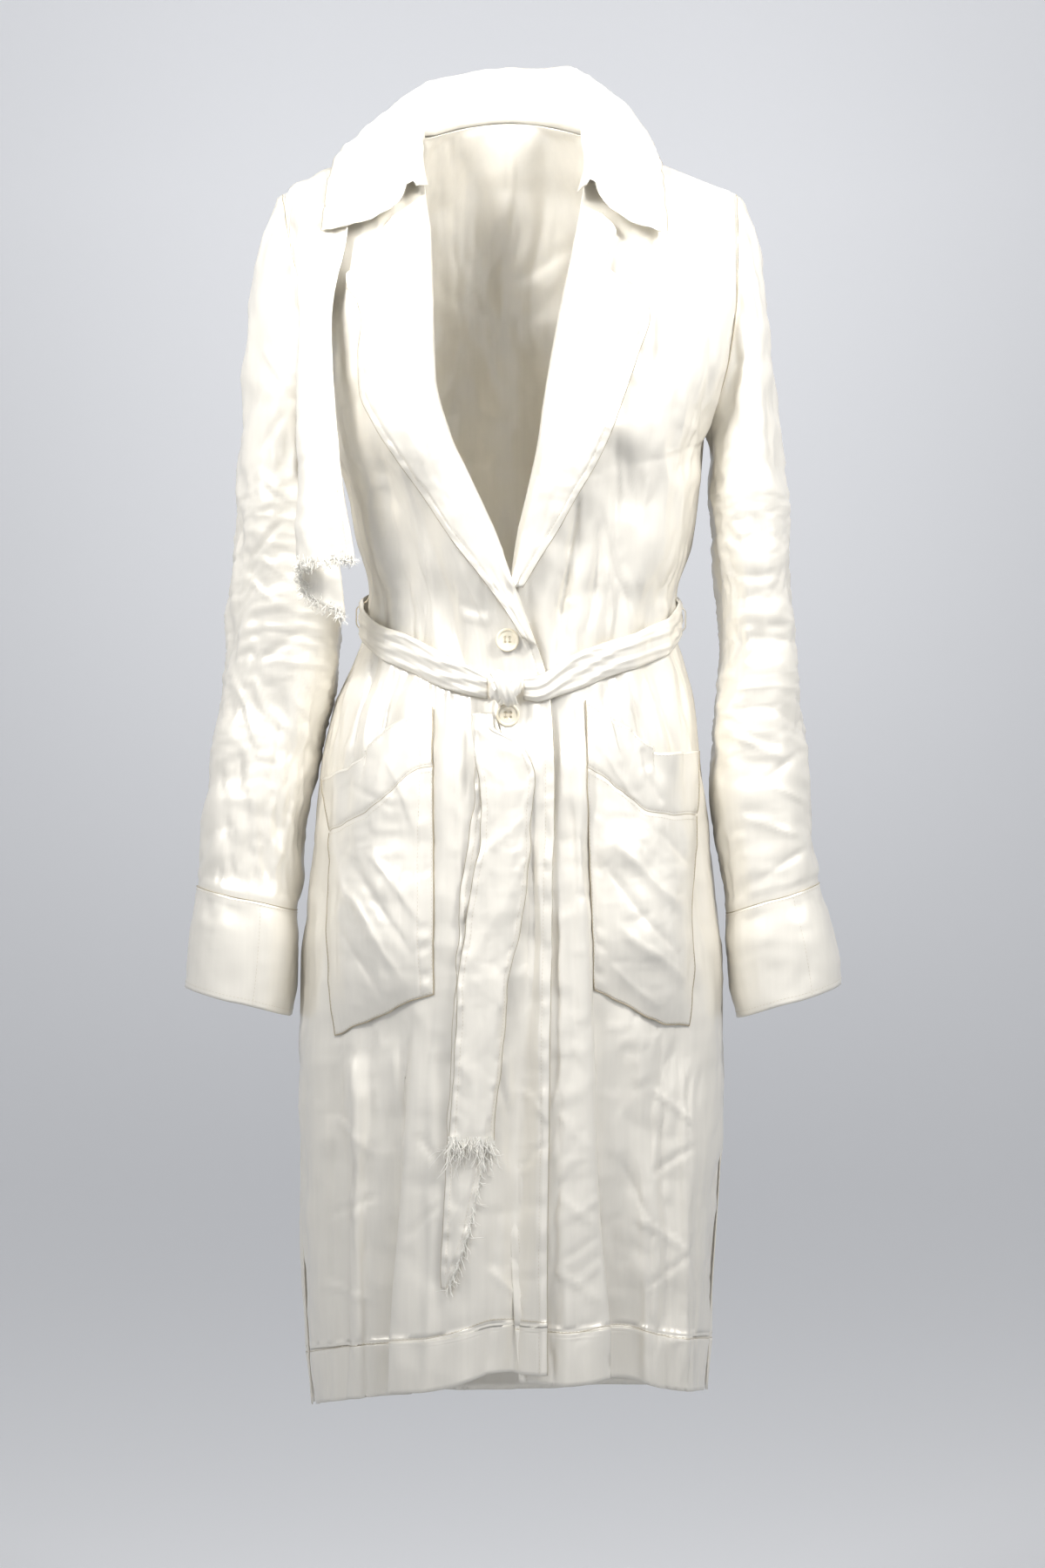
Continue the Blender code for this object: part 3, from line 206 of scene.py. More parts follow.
LAPEL_OUT = {-1: table("v x z lift", """
    .21 -104 -72 3; .28 -121 -96 5; .35 -129 -116 8; .39 -146 -128 12; .43 -145 -140 13;
    .465 -136 -153 11; .52 -132 -172 8; .6 -135 -200 9; .7 -134 -232 8; .8 -120 -265 8;
    .9 -100 -296 7; 1 -78 -326 6; 1.05 -50 -368 5; 1.1 -27 -397 4; 1.15 -4 -428 3.4; 1.19 15 -458 3;
    1.212 27 -476 2.6"""),
             1: table("v x z lift", """
    .22 84 -70 3; .29 96 -88 5; .345 87 -116 9; .39 100 -131 12; .44 118 -140 12; .52 126 -166 9;
    .6 117 -196 8; .7 104 -234 8; .8 92 -268 8; .9 78 -298 7; 1 59 -330 6; 1.04 44 -357 5;
    1.08 28 -382 4; 1.11 16 -402 3; 1.125 10 -412 2.6""")}
COLLAR = table("s bx by bz fx fy fz ox oy oz sag puff", """
    -1 -74 -76 -44 -84 -86 -45 -168 -108 -88 17 2; -.85 -78.5 -48 -15 -83 -54 -7 -166 -76 -60 7 4;
    -.7 -79.5 -25 .8 -83 -26 18 -163 -40 -30 0 5; -.5 -78.2 2 11.2 -82 0 46 -156 -4 -5 0 3;
    -.33 -68 29.5 16 -77 27 58 -136 44 8 0 3; -.17 -42 49.3 25.1 -50 50 68 -84 84 16 0 3;
    0 0 57.8 30.8 0 60 78 0 102 16 0 3; .17 42 49.3 25.1 46 50 78 80 84 16 0 4;
    .33 67 29.5 16.4 62 27 68 120 46 16 0 8; .5 74.4 2 13.2 63 0 52 127 -4 9 0 11;
    .7 72.4 -28 1 66 -30 14 137 -40 -18 0 9; .85 67.6 -55 -25 68 -60 -14 141 -72 -58 7 6;
    1 62 -84 -52 70 -92 -44 142 -108 -92 18 3""")
BELT_Z = table("turn z", """
    -180 -415; -120 -418; -92 -428; -75 -440; -60 -455; -45 -466; -25 -486; -8 -499; 8 -500;
    20 -489; 38 -474; 55 -462; 75 -445; 92 -430; 120 -418; 180 -415""")
ENDS = {"back": table("z left right turn", """
    -520 -30 -14 0; -560 -29 0 3; -600 -31 6 4; -675 -42 2 0; -782 -48 -6 0; -860 -53 -14 1;
    -912 -56 -22 0; -955 -58 -31 0; -985 -59 -37 0; -1012 -60 -46 0; -1032 -60 -54 0"""),
        "front": table("z left right turn", """
    -521 -33 -14 0; -533 -33 -13.5 1; -549 -31 12 3; -575 -28 22 3; -613 -24 20 2; -680 -34 15 0;
    -705 -38 11 0; -766 -45 -1 -1; -830 -49 -7 0; -880 -51 -12 1; -903 -53 -13 0""")}

# small folds: a line on the cloth, cross width and height out
CREASES = {-1: table("x0 z0 x1 z1 wide out", """
    -115 -273 -83 -464 7.2 -2.5; -89 -320 -38 -483 6.4 -2.5; -50 -421 -18 -429 3.2 -1.2;
    -46 -433 -13 -438 3.2 1; -101 -289 -66 -413 8 2; -62 -351 -19 -444 6.4 1.5;
    -124 -304 -112 -429 6.4 2; -139 -320 -124 -421 4.8 -1.5; -132 -458 -162 -568 4.8 2.2;
    -122 -461 -150 -580 4 -2; -111 -466 -134 -568 4.8 2.2; -100 -469 -112 -545 4 -1.8;
    -85 -475 -89 -545 4.8 1.8; -72 -479 -68 -545 4 -1.5; -54 -485 -50 -568 4.8 1.4;
    -35 -499 -28 -584 4.8 1.2; -155 -809 -163 -1105 6.4 -2.2; -139 -817 -143 -1105 7.2 2.2;
    -124 -825 -129 -1108 5.6 -1.8; -66 -786 -73 -1112 9.6 2.2; -46 -802 -56 -934 4.8 -1.6;
    -31 -972 -35 -1105 7.2 1.8; -7 -957 -19 -1105 5.6 -1.6; 20 -584 18 -778 5.6 -2.2;
    12 -802 6 -1105 6.4 -2.2; 29 -607 28 -1097 4.8 1.5; -81 -895 -50 -934 3.2 -1.1;
    -19 -1011 12 -1050 3.2 1.1; -89 -988 -62 -957 3.2 -1.1; 12 -856 34 -887 3.2 1.1;
    10 -926 34 -903 3.2 -1.1; -159 -887 -120 -918 3.2 1.1; -165 -972 -119 -949 3.2 -1.1;
    -170 -1035 -120 -1050 4 1.1; -101 -817 -91 -918 4.8 1.4; -19 -794 0 -887 4 -1.2;
    -7 -817 -23 -918 4 1.1"""),
           1: table("x0 z0 x1 z1 wide out", """
    64 -325 51 -382 5.6 -3; 51 -382 41 -481 5.6 -3; 82 -339 71 -450 4 -2; 82 -339 109 -436 4.8 -1.8;
    97 -272 99 -370 5.6 -2.2; 181 -173 171 -303 7.2 -2.6; 171 -303 163 -382 7.2 -2.6;
    121 -289 117 -421 7.2 2.2; 140 -258 136 -398 8 2.2; 59 -382 59 -475 4.8 2;
    90 -382 94 -460 4.8 1.6; 156 -211 152 -382 6.4 1.8; 82 -499 99 -561 4 -2;
    91 -495 115 -558 4 2.1; 105 -488 127 -558 4 -2; 119 -479 140 -556 4 2.1;
    132 -471 152 -553 4 -1.6; 146 -466 163 -547 4 1.6; 55 -506 59 -584 4.8 2.1;
    43 -530 51 -1105 4.8 1.6; 56 -530 65 -1105 4.8 -1.3; 117 -802 122 -1112 9.6 2.2;
    138 -809 144 -1112 6.4 -2.2; 156 -809 160 -1112 5.6 2.1; 171 -809 171 -1112 4.8 -1.6;
    43 -879 68 -910 2.8 1.1; 68 -918 43 -945 2.8 -1.1; 45 -949 74 -980 2.8 1.1;
    77 -984 47 -1011 2.8 -1.1; 43 -1015 82 -1050 2.8 1.1; 82 -1054 55 -1085 2.8 -1.1;
    65 -887 47 -918 2.8 -.9; 55 -972 80 -949 2.8 .9; 59 -1035 82 -1011 2.8 .9;
    125 -856 167 -887 3.2 1.1; 167 -910 129 -934 3.2 -1.1; 113 -972 160 -1004 3.2 1.1;
    167 -1004 121 -1035 3.2 -1.1; 101 -918 125 -972 3.2 -1.1; 47 -778 65 -840 3.2 1;
    65 -802 49 -864 3.2 -1""")}
SLEEVE_CREASES = {-1: table("x0 z0 x1 z1 wide out", """
    -225 -189 -197 -229 3.2 1.5; -201 -245 -229 -284 3.2 -1.5; -233 -300 -201 -327 3.2 1.6;
    -205 -347 -237 -379 3.2 -1.5; -241 -395 -209 -426 4 1.4; -185 -442 -225 -473 4 -1.4;
    -255 -473 -225 -552 4.8 1.7; -201 -489 -217 -616 5.6 -1.7; -233 -584 -225 -671 5.6 1.5;
    -264 -568 -255 -663 4.8 -1.4; -189 -316 -193 -473 5.6 1.6; -245 -252 -250 -379 4.8 -1.6;
    -217 -205 -233 -245 3.2 -1.2; -209 -276 -189 -316 3.2 1.2; -225 -379 -197 -402 3.2 1.2"""),
                  1: table("x0 z0 x1 z1 wide out", """
    205 -537 249 -560 4 1.7; 265 -552 217 -592 4 -1.7; 209 -608 261 -631 4 1.6;
    269 -639 225 -671 4 -1.5; 225 -426 233 -521 5.6 -1.8; 209 -347 217 -489 5.6 1.8;
    253 -426 261 -537 4.8 1.5; 197 -189 217 -347 6.4 -1.9; 225 -205 241 -347 6.4 1.8;
    190 -379 197 -505 5.6 -1.6; 237 -655 233 -702 4.8 1.4; 194 -521 225 -545 4 -1.3;
    233 -584 269 -600 3.2 1.2""")}
POCKET_CREASES = {-1: table("x0 z0 x1 z1 wide out", """
    -154 -669 -89 -762 6.4 2.2; -160 -708 -112 -777 4.8 -1.7; -143 -654 -81 -739 5.6 -1.7;
    -127 -646 -77 -708 4.8 1.7; -164 -607 -143 -708 4.8 1.2; -112 -561 -82 -630 5.6 1.2;
    -143 -584 -104 -607 4 -1"""),
                  1: table("x0 z0 x1 z1 wide out", """
    89 -630 163 -700 7.2 2.2; 85 -661 151 -739 5.6 -1.8; 97 -708 163 -762 6.4 2;
    136 -630 167 -661 4.8 -1.4; 89 -739 136 -785 4.8 1.4; 117 -552 122 -574 4 -2;
    122 -574 137 -603 4 -2; 82 -553 113 -607 4.8 1.2""")}
LAPEL_CREASES = {-1: table("x0 z0 x1 z1 wide out", """
    -112 -51 -107 -210 4 1.6; -102 -56 -99 -195 4 -1.8; -92 -61 -87 -218 4 1.8;
    -81 -66 -76 -210 4 -1.6; -72 -86 -68 -195 3.2 1.2; -120 -210 -66 -319 6.4 1.4;
    -105 -226 -43 -350 5.6 -1.2; -130 -119 -137 -154 3.2 -1.6; -19 -382 12 -452 4 -1"""),
                 1: table("x0 z0 x1 z1 wide out", """
    90 -140 117 -210 4.8 1.5; 102 -181 102 -235 2.4 -1.6; 59 -210 43 -319 5.6 1.3;
    82 -117 67 -210 4.8 -1.4; 96 -87 90 -140 3.2 -1.6; 74 -78 60 -179 4.8 1.3; 43 -319 20 -389 4 -1""")}

POCKETS = {
    -1: dict(top=[(-68, -516), (-82, -519), (-94, -529), (-108, -545), (-127, -564), (-152, -576),
                  (-170, -580)],
             foot=[(-67, -771), (-81, -775), (-96, -782), (-112, -790), (-135, -800), (-146, -806),
                   (-157, -811)],
             inner=[(-68, -516), (-67, -640), (-67, -771)],
             outer=[(-170, -580), (-164, -620), (-162, -655), (-165, -702), (-163, -765), (-157, -811)]),
    1: dict(top=[(68, -509), (87, -523), (106, -540), (120, -554), (134, -556), (150, -556), (172, -554)],
            foot=[(76, -767), (88, -773), (99, -779), (123, -793), (133, -797), (143, -800), (162, -801)],
            inner=[(68, -509), (71, -640), (76, -767)],
            outer=[(172, -554), (171, -600), (170, -636), (164, -699), (167, -747), (162, -801)])}

# down the flap: five points across it, free edge, front, fold, back, back edge
FLAP = [[(-138, -8, -10), (-169, -9, -23), (-196, -14, -35), (-201, -17, -41), (-203, -24, -48)],
        [(-146, -101, -92), (-168, -102, -94), (-192, -95, -98), (-193, -87, -105), (-188, -81, -113)],
        [(-158, -124, -168), (-172, -125, -170), (-188, -116, -176), (-185, -101, -184), (-173, -92, -190)],
        [(-152, -137, -282), (-170, -140, -284), (-190, -130, -288), (-184, -114, -300), (-160, -105, -310)],
        [(-137, -142, -384), (-164, -144, -387), (-190, -134, -391), (-185, -116, -413), (-147, -106, -434)]]


# ---------------------------------------------------------------- faces of the body panels
def rows_through(a, e, n, u):
    """Rows from the side points a to the edge points e, round like a quarter oval."""
    t = np.linspace(0, PI / 2, 60)
    out = np.zeros((len(a), len(u), 3))
    for k in range(len(a)):
        gx, gy = 1 - np.cos(t) ** (2 / n[k]), np.sin(t) ** (2 / n[k])
        dx, dy, dz = e[k] - a[k]
        s = run(np.stack([gx * dx, gy * dy], 1))
        s /= s[-1]
        out[k] = a[k] + np.stack([dx * np.interp(u, s, gx), dy * np.interp(u, s, gy), dz * u], 1)
    return out


def fold_height(x, z, folds):
    """Soft folds down the cloth that fade at their ends."""
    out = np.zeros_like(x)
    for x0, z0, x1, z1, wide, high, fade in in_metres(folds):
        t = (z - z0) / (z1 - z0)
        fall = 1 if z1 < OPEN_BELOW else ease(part((1 - t) / fade))
        out += high * ease(part(t / fade)) * fall * bell(x, x0 + (x1 - x0) * t, wide)
    return out


def lap_fold(p, n, lap, side):
    """Turns the cloth back under itself along the line in the table."""
    z = p[..., 2]
    q = (p[..., 0] - read(lap, "x", z)) * -side / LAP_WIDE        # + towards the middle of the front
    back = .5 * (1 - np.tanh(1.25 * q)) * np.exp(-np.clip(-q, 0, None) * LAP_WIDE / .055)
    out = p.copy()
    out[..., 0] += side * .95 * read(lap, "laps", z) * q * np.exp((1 - q * q) / 2)
    return out_by(out, -n, read(lap, "deep", z) * back)


def side_line(side, v, way):
    """Armhole, then side seam; way is -1 on the front and 1 on the back."""
    th = PI * part(v) ** .92
    z = np.where(v <= 1, SIDE_SEAM_TOP + ARM_DEPTH_HALF * (1 + np.cos(th)),
                 SIDE_SEAM_TOP + (HEM[side] - SIDE_SEAM_TOP) * part(v - 1))
    x = np.where(v <= 1, read(ARM, XS[side], z), read(SIDE, XS[side], z))
    return np.stack([x, np.where(v <= 1, way * ARM_Y_HALF * np.sin(th), 0), z], 1)


def front_surface(side, u, v):
    """Face of a front panel: u from the side to the front edge, v down from the shoulder."""
    edge = EDGES[side]
    p = rows_through(side_line(side, v, -1), np.stack([read_v(edge, c, v) for c in "xyz"], 1),
                     smooth(edge["v"], edge["n"], v), u)
    n = normals(p) * side
    p = out_by(p, n, fold_height(p[..., 0], p[..., 2], FOLDS[side])
               * part(u * 9)[None, :] * part(v * 5)[:, None])
    p = lap_fold(p, n, LAPS[side], side)
    rise_at = {-1: -.015, 1: .10}[side]
    p[..., 2] += .009 * part((v - 1.8) / .2)[:, None] * bell(p[..., 0], rise_at, .03)
    return p


def back_surface(u, v):
    """Face of the back: u from the left side seam round to the right one."""
    above = part(v)
    z = np.where(v <= 1, .030 - .320 * above, -.290 + (BACK_HEM + .290) * part(v - 1))
    y = np.where(v <= 1, .058 + .042 * np.sin(part(above / .55) * PI / 2) + .007 * part((above - .5) / .5),
                 read(SIDE, "back", z))
    n = np.where(v <= 1, 2 + .5 * above, smooth(SIDE["z"] * MM, SIDE["back_n"], z))
    left, right = (rows_through(side_line(side, v, 1), np.stack([0 * v, y, z], 1), n, np.linspace(0, 1, 81))
                   for side in (1, -1))
    whole = np.concatenate([left, right[:, -2::-1]], 1)
    out = np.stack([on_line(u, np.linspace(0, 1, whole.shape[1]), row) for row in whole])
    # the top row follows the shoulder seams and the neck
    x = out[..., 0]
    shoulder = np.where(x < 0, .010 - (-x - .079) * .052 / .127, .012 - (x - .075) * .054 / .131)
    top_z = np.where(np.abs(x) < .077, .030 - .019 * (np.abs(x) / .077) ** 2, shoulder)
    top_y = .058 * np.sqrt(part(1 - (x / .079) ** 2))
    w = (bell(above, 0, .16) * part(1 - v))[:, None]
    w[0] = 1
    out[..., 2] += (top_z - out[..., 2]) * w
    out[..., 1] += (top_y - out[..., 1]) * w
    return out_by(out, -normals(out), fold_height(x, out[..., 2], FOLDS_BACK)
                  * part(np.minimum(u, 1 - u) * 14)[None, :])


def sample(p, u, v, us, vs):
    """Points of a fine grid p at the places u (across) and v (down)."""
    fu, fv = np.interp(u, us, np.arange(len(us))), np.interp(v, vs, np.arange(len(vs)))
    i, j = np.clip(fv.astype(int), 0, len(vs) - 2), np.clip(fu.astype(int), 0, len(us) - 2)
    a, b = (fv - i)[..., None], (fu - j)[..., None]
    return (p[i, j] * (1 - a) * (1 - b) + p[i + 1, j] * a * (1 - b)
            + p[i, j + 1] * (1 - a) * b + p[i + 1, j + 1] * a * b)


# ---------------------------------------------------------------- noise
def lattice(ix, iy, iz, seed):
    """A steady random value from -1 to 1 at each lattice point."""
    h = (ix * 73856093) ^ (iy * 19349663) ^ (iz * 83492791) ^ (seed * 2654435761)
    h = (h ^ (h >> 13)) * 1274126177
    return ((h ^ (h >> 16)) & 0xFFFFFF) / float(0x7FFFFF) - 1.0


def noise(p, size, seed):
    """Smooth noise from about -1 to 1; size is its grain along x, y and z."""
    q = p / np.asarray(size, float)
    i = np.floor(q).astype(np.int64)
    f = q - i
    f = f * f * f * (f * (f * 6 - 15) + 10)
    out = 0
    for d in np.ndindex(2, 2, 2):
        w = np.prod([f[..., k] if d[k] else 1 - f[..., k] for k in range(3)], axis=0)
        out = out + w * lattice(*(i[..., k] + d[k] for k in range(3)), seed)
    return out


def line_noise(s, grain, seed):
    return noise(np.stack([s, 0 * s, 0 * s], -1), (grain, 1, 1), seed)


def crumple(p, size, seed, octaves=3, warp=.35):
    """Flat facets between sharp creases, both ways: from about -1 to 1."""
    size = np.asarray(size, float)
    q = p + np.stack([noise(p, size * 1.7, seed + 50 + k) for k in range(3)], -1) * size * warp
    out, total = 0, 0
    for o in range(octaves):
        s, a = size / 1.9 ** o, .55 ** o
        out = out + a * (np.abs(noise(q, s, seed + 7 * o)) - np.abs(noise(q + 3.1, s, seed + 7 * o + 3)))
        total += a
    return out / total * 1.6


# ---------------------------------------------------------------- buckling
def pull(a, b, rest):
    """Moves two sets of points until they lie their own length apart."""
    d = b - a
    ln = np.sqrt((d * d).sum(-1))
    m = (.5 * (ln - rest) / np.maximum(ln, 1e-9))[..., None] * d
    a += m
    b -= m


def buckle(p, n, seed, more_u, more_v, fixed, hold=.0015, closed=False, rounds=50, slide=.05, stiff=.02):
    """Cloth a little larger than the surface p, so that it crumples about it.

    seed: its first height, more_u and more_v: the spare share along the rows and down them,
    fixed: 1 where it is sewn down, closed: the rows run round. Returns the new points.
    """
    def wrap(g):
        return np.concatenate([g, g[:, :1]], 1) if closed else g

    def unwrap(g):
        return g[:, :-1].copy() if closed else g

    around = wrap(p)
    eu, ev = wrap(np.broadcast_to(more_u, p.shape[:2])), np.broadcast_to(more_v, p.shape[:2])
    lu = np.linalg.norm(around[:, 1:] - around[:, :-1], axis=2) * (1 + .5 * (eu[:, 1:] + eu[:, :-1]))
    lv = np.linalg.norm(p[1:] - p[:-1], axis=2) * (1 + .5 * (ev[1:] + ev[:-1]))
    flat_u = .5 * (around[:, :-2] + around[:, 2:]) - around[:, 1:-1]
    flat_v = .5 * (p[:-2] + p[2:]) - p[1:-1]
    loose = (1 - fixed)[..., None]
    q = out_by(p, n, seed * (1 - fixed))
    for _ in range(rounds):
        w = wrap(q)
        for s in (0, 1):
            m = 2 * ((w.shape[1] - s) // 2)
            pull(w[:, s:s + m:2], w[:, s + 1:s + 1 + m:2], lu[:, s:s + m:2])
        if closed:
            w[:, 0] = w[:, -1] = .5 * (w[:, 0] + w[:, -1])
        q = unwrap(w)
        for s in (0, 1):
            m = 2 * ((q.shape[0] - s) // 2)
            pull(q[s:s + m:2], q[s + 1:s + 1 + m:2], lv[s:s + m:2])
        w = wrap(q)
        w[:, 1:-1] += stiff * (.5 * (w[:, :-2] + w[:, 2:]) - w[:, 1:-1] - flat_u)
        q = unwrap(w)
        q[1:-1] += stiff * (.5 * (q[:-2] + q[2:]) - q[1:-1] - flat_v)
        d = p - q
        dn = (d * n).sum(-1, keepdims=True) * n
        q = p + (q + hold * dn + slide * (d - dn) - p) * loose
    return q


def mesh(name, verts, faces, mat, nodes=(), slot=None):
    me = bpy.data.meshes.new(name)
    me.from_pydata([tuple(v) for v in verts], [], faces)
    me.update()
    me.polygons.foreach_set("use_smooth", [True] * len(me.polygons))
    me.materials.append(mat)
    ob = bpy.data.objects.new(name, me)
    bpy.context.collection.objects.link(ob)
    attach(ob, "root")
    if nodes:
        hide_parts(*nodes)
    return ob


def grid_faces(rows, cols, closed, at=0):
    idx = np.arange(rows * cols).reshape(rows, cols) + at
    if closed:
        idx = np.append(idx, idx[:, :1], 1)
    return np.stack([idx[:-1, :-1], idx[:-1, 1:], idx[1:, 1:], idx[1:, :-1]], -1).reshape(-1, 4)


def cloth(node, p, side, mat=None, closed=False, n=None):
    """A closed wall with its outer face on the grid p, in place of a node."""
    n = normals(p, closed) * side if n is None else n
    rows, cols = p.shape[:2]
    half = rows * cols
    verts = np.concatenate([p.reshape(-1, 3), (p - n * WALL).reshape(-1, 3)])
    faces = [grid_faces(rows, cols, closed), grid_faces(rows, cols, closed, half)[:, ::-1]]
    idx = np.arange(half).reshape(rows, cols)
    if closed:
        rings = [np.append(idx[0], idx[0, 0])[::-1], np.append(idx[-1], idx[-1, 0])]
    else:
        rings = [np.concatenate([idx[0], idx[1:, -1], idx[-1, -2::-1], idx[-2::-1, 0]])[::-1]]
    faces += [np.stack([r[:-1], r[1:], r[1:] + half, r[:-1] + half], -1) for r in rings]
    faces = np.concatenate(faces)
    return mesh(node + "_cloth", verts, (faces[:, ::-1] if side < 0 else faces).tolist(), mat or SATIN,
                (node,))


def join(pairs):
    """Points and faces of many grids, each with whether its rows run round."""
    verts, faces, at = [], [], 0
    for g, closed in pairs:
        verts.append(g.reshape(-1, 3))
        faces.append(grid_faces(*g.shape[:2], closed, at))
        at += g.shape[0] * g.shape[1]
    return np.concatenate(verts), np.concatenate(faces).tolist()


def tubes(name, grids, mat, nodes=(), slot=None):
    return mesh(name, *join((g, True) for g in grids), mat, nodes, slot)


def tube(name, p, mat, nodes=(), slot=None):
    """A closed loft through rings, with flat ends."""
    rows, cols = p.shape[:2]
    faces = grid_faces(rows, cols, True).tolist()
    faces += [list(range(cols))[::-1], list(range((rows - 1) * cols, rows * cols))]
    ob = mesh(name, p.reshape(-1, 3), faces, mat, nodes, slot)
    bm = bmesh.new()
    bm.from_mesh(ob.data)
    bmesh.ops.recalc_face_normals(bm, faces=bm.faces)
    bm.to_mesh(ob.data)
    bm.free()
    return ob


def tree_of(*grids, rings=()):
    """A search tree of grids, for laying pieces on them."""
    verts, faces = join([(g, False) for g in grids] + [(g, True) for g in rings])
    return BVHTree.FromPolygons([tuple(v) for v in verts], faces)


def front_y(under, x, z, none=np.nan):
    """How far forward the pieces below reach at each x, z."""
    x, z = np.broadcast_arrays(x, z)
    out = np.full(x.shape, none, float)
    for k in np.ndindex(x.shape):
        hit = under.ray_cast(Vector((float(x[k]), -1.0, float(z[k]))), Vector((0, 1, 0)))
        if hit[0] is not None:
            out[k] = hit[0].y
    return out


def blur(g, times):
    for _ in range(times):
        g[1:-1] = .25 * g[:-2] + .5 * g[1:-1] + .25 * g[2:]
        g[:, 1:-1] = .25 * g[:, :-2] + .5 * g[:, 1:-1] + .25 * g[:, 2:]
    return g


def ring_at(tab, z, side, phi):
    """A flattened round ring of a sleeve; phi 0 is its outer side, then the front."""
    x, half_x, y, half_y, tilt = (read(tab, c, z) for c in ("x", "half_x", "y", "half_y", "tilt"))
    c, s = np.cos(phi), np.sin(phi)
    return np.stack([x + side * half_x * np.sign(c) * np.abs(c) ** .85,
                     y - half_y * np.sign(s) * np.abs(s) ** .85, z + .5 * tilt * c], -1)


def flap_grid(rows, cols):
    f = np.array(FLAP, float) * MM
    across, down = np.linspace(0, 1, 5), np.array([0, .22, .42, .70, 1.0])
    a = np.stack([np.stack([smooth(across, f[i, :, k], cols) for k in range(3)], 1) for i in range(5)])
    return np.stack([np.stack([smooth(down, a[:, j, k], rows) for k in range(3)], 1)
                     for j in range(len(cols))], 1)


def collar_grid(stations, fall, stand):
    """Rows of the collar: up the stand, over the fold and down the fall."""
    c = {k: smooth(COLLAR["s"], COLLAR[k] * MM, stations) for k in COLLAR if k != "s"}
    b, f, o = (np.stack([c[k + a] for a in "xyz"], 1) for k in "bfo")
    away = unit((o - f) * np.array([1, 1, 0.0]))
    up = np.array([0, 0, 1.0])
    rows = [b + (f - b) * t for t in stand]
    rows += [f - up * .001, f + up * .0035 + away * .003, f + away * .0075 + up * .0005]
    start = rows[-1]
    for t in fall:
        swell, sag = (c["puff"] * math.sin(PI * t))[:, None], (c["sag"] * math.sin(PI * t ** .6))[:, None]
        rows.append(start + (o - start) * t + (up * .8 + away * .5) * swell - up * sag)
    return np.array(rows)


# ---------------------------------------------------------------- camera, floor and light
CAM_X, CAM_Y, CAM_Z, VIEW_H = .012, -4.5, -.584, 1.44
camera = bpy.data.objects.new("camera", bpy.data.cameras.new("camera"))
bpy.context.collection.objects.link(camera)
camera.location = (CAM_X, CAM_Y, CAM_Z)
camera.rotation_euler = (PI / 2, 0, 0)
camera.data.sensor_width = 36
camera.data.lens = 36 / VIEW_H * -CAM_Y
camera.data.clip_end = 60
bpy.context.scene.camera = camera


def feed(mat, node, **sockets):
    """Sets sockets to a number or colour, or joins them to another node's output."""
    for key, value in sockets.items():
        socket = node.inputs[int(key[1:]) if key[0] == "_" else key.replace("_", " ")]
        if isinstance(value, bpy.types.NodeSocket):
            mat.node_tree.links.new(value, socket)
        else:
            socket.default_value = value
    return node


def add(mat, kind, settings={}, **sockets):
    """A new shader node."""
    node = mat.node_tree.nodes.new("ShaderNode" + kind)
    for key, value in settings.items():
        setattr(node, key, value)
    return feed(mat, node, **sockets)


def material(name):
    mat = bpy.data.materials.new(name)
    mat.use_nodes = True
    return mat, mat.node_tree.nodes["Principled BSDF"], add(mat, "TexCoord").outputs["Object"]


def calc(mat, kind, a, b=0.5):
    return add(mat, "Math", {"operation": kind}, _0=a, _1=b).outputs[0]


def stage():
    """A pale floor that sweeps up all round, far behind the camera's other places; its glow is painted light.
    """
    prof = [(0, 0), (3, 0), (6.5, 0)]
    prof += [(6.5 + 4 * math.sin(a), 4 - 4 * math.cos(a)) for a in np.linspace(0, PI / 2, 14)[1:]]
    prof += [(10.5, 9.0)]
    seg, low = 96, -1.56
    verts = [(r * math.cos(t), r * math.sin(t), low + h) for r, h in prof
             for t in (2 * PI * k / seg for k in range(seg))]
    me = bpy.data.meshes.new("floor")
    me.from_pydata(verts, [], [(i * seg + k, i * seg + (k + 1) % seg, (i + 1) * seg + (k + 1) % seg,
                                (i + 1) * seg + k) for i in range(len(prof) - 1) for k in range(seg)])
    me.polygons.foreach_set("use_smooth", [True] * len(me.polygons))
    mat, bsdf, where = material("floor")
    x, _, z = add(mat, "SeparateXYZ", _0=where).outputs

    def ramp(socket, low, high, a, b, kind="SMOOTHSTEP"):
        return add(mat, "MapRange", {"interpolation_type": kind}, Value=socket, From_Min=low,
                   From_Max=high, To_Min=a, To_Max=b).outputs["Result"]

    # painted light: the floor glows more the higher it is, and a painted pool of light lies in a band about x
    # = 0, strongest between z 0.2 and 0.5
    painted_glow_rise = ramp(z, -1.6, 1.2, .20, .40, "LINEAR")
    painted_light_pool = calc(mat, "MULTIPLY", ramp(calc(mat, "ABSOLUTE", x), .5, 2.2, .16, 0),
                calc(mat, "MULTIPLY", ramp(z, -2.0, .2, 0, 1), ramp(z, .5, 3.5, 1, 0)))
    feed(mat, bsdf, Base_Color=(.60, .61, .63, 1), Roughness=.9, Emission_Color=(.96, .97, 1, 1),
         Emission_Strength=calc(mat, "ADD", painted_glow_rise, painted_light_pool))
    me.materials.append(mat)
    ob = bpy.data.objects.new("floor", me)
    bpy.context.collection.objects.link(ob)


def light(name, place, aim, size, power, colour=(1, 1, 1), spread=180):
    data = bpy.data.lights.new(name, "AREA")
    data.shape, data.size, data.size_y, data.energy, data.color = "RECTANGLE", *size, power, colour
    data.spread = math.radians(spread)
    ob = bpy.data.objects.new(name, data)
    bpy.context.collection.objects.link(ob)
    ob.location = place
    ob.rotation_euler = (Vector(aim) - Vector(place)).to_track_quat("-Z", "Y").to_euler()
    ob.visible_camera = False


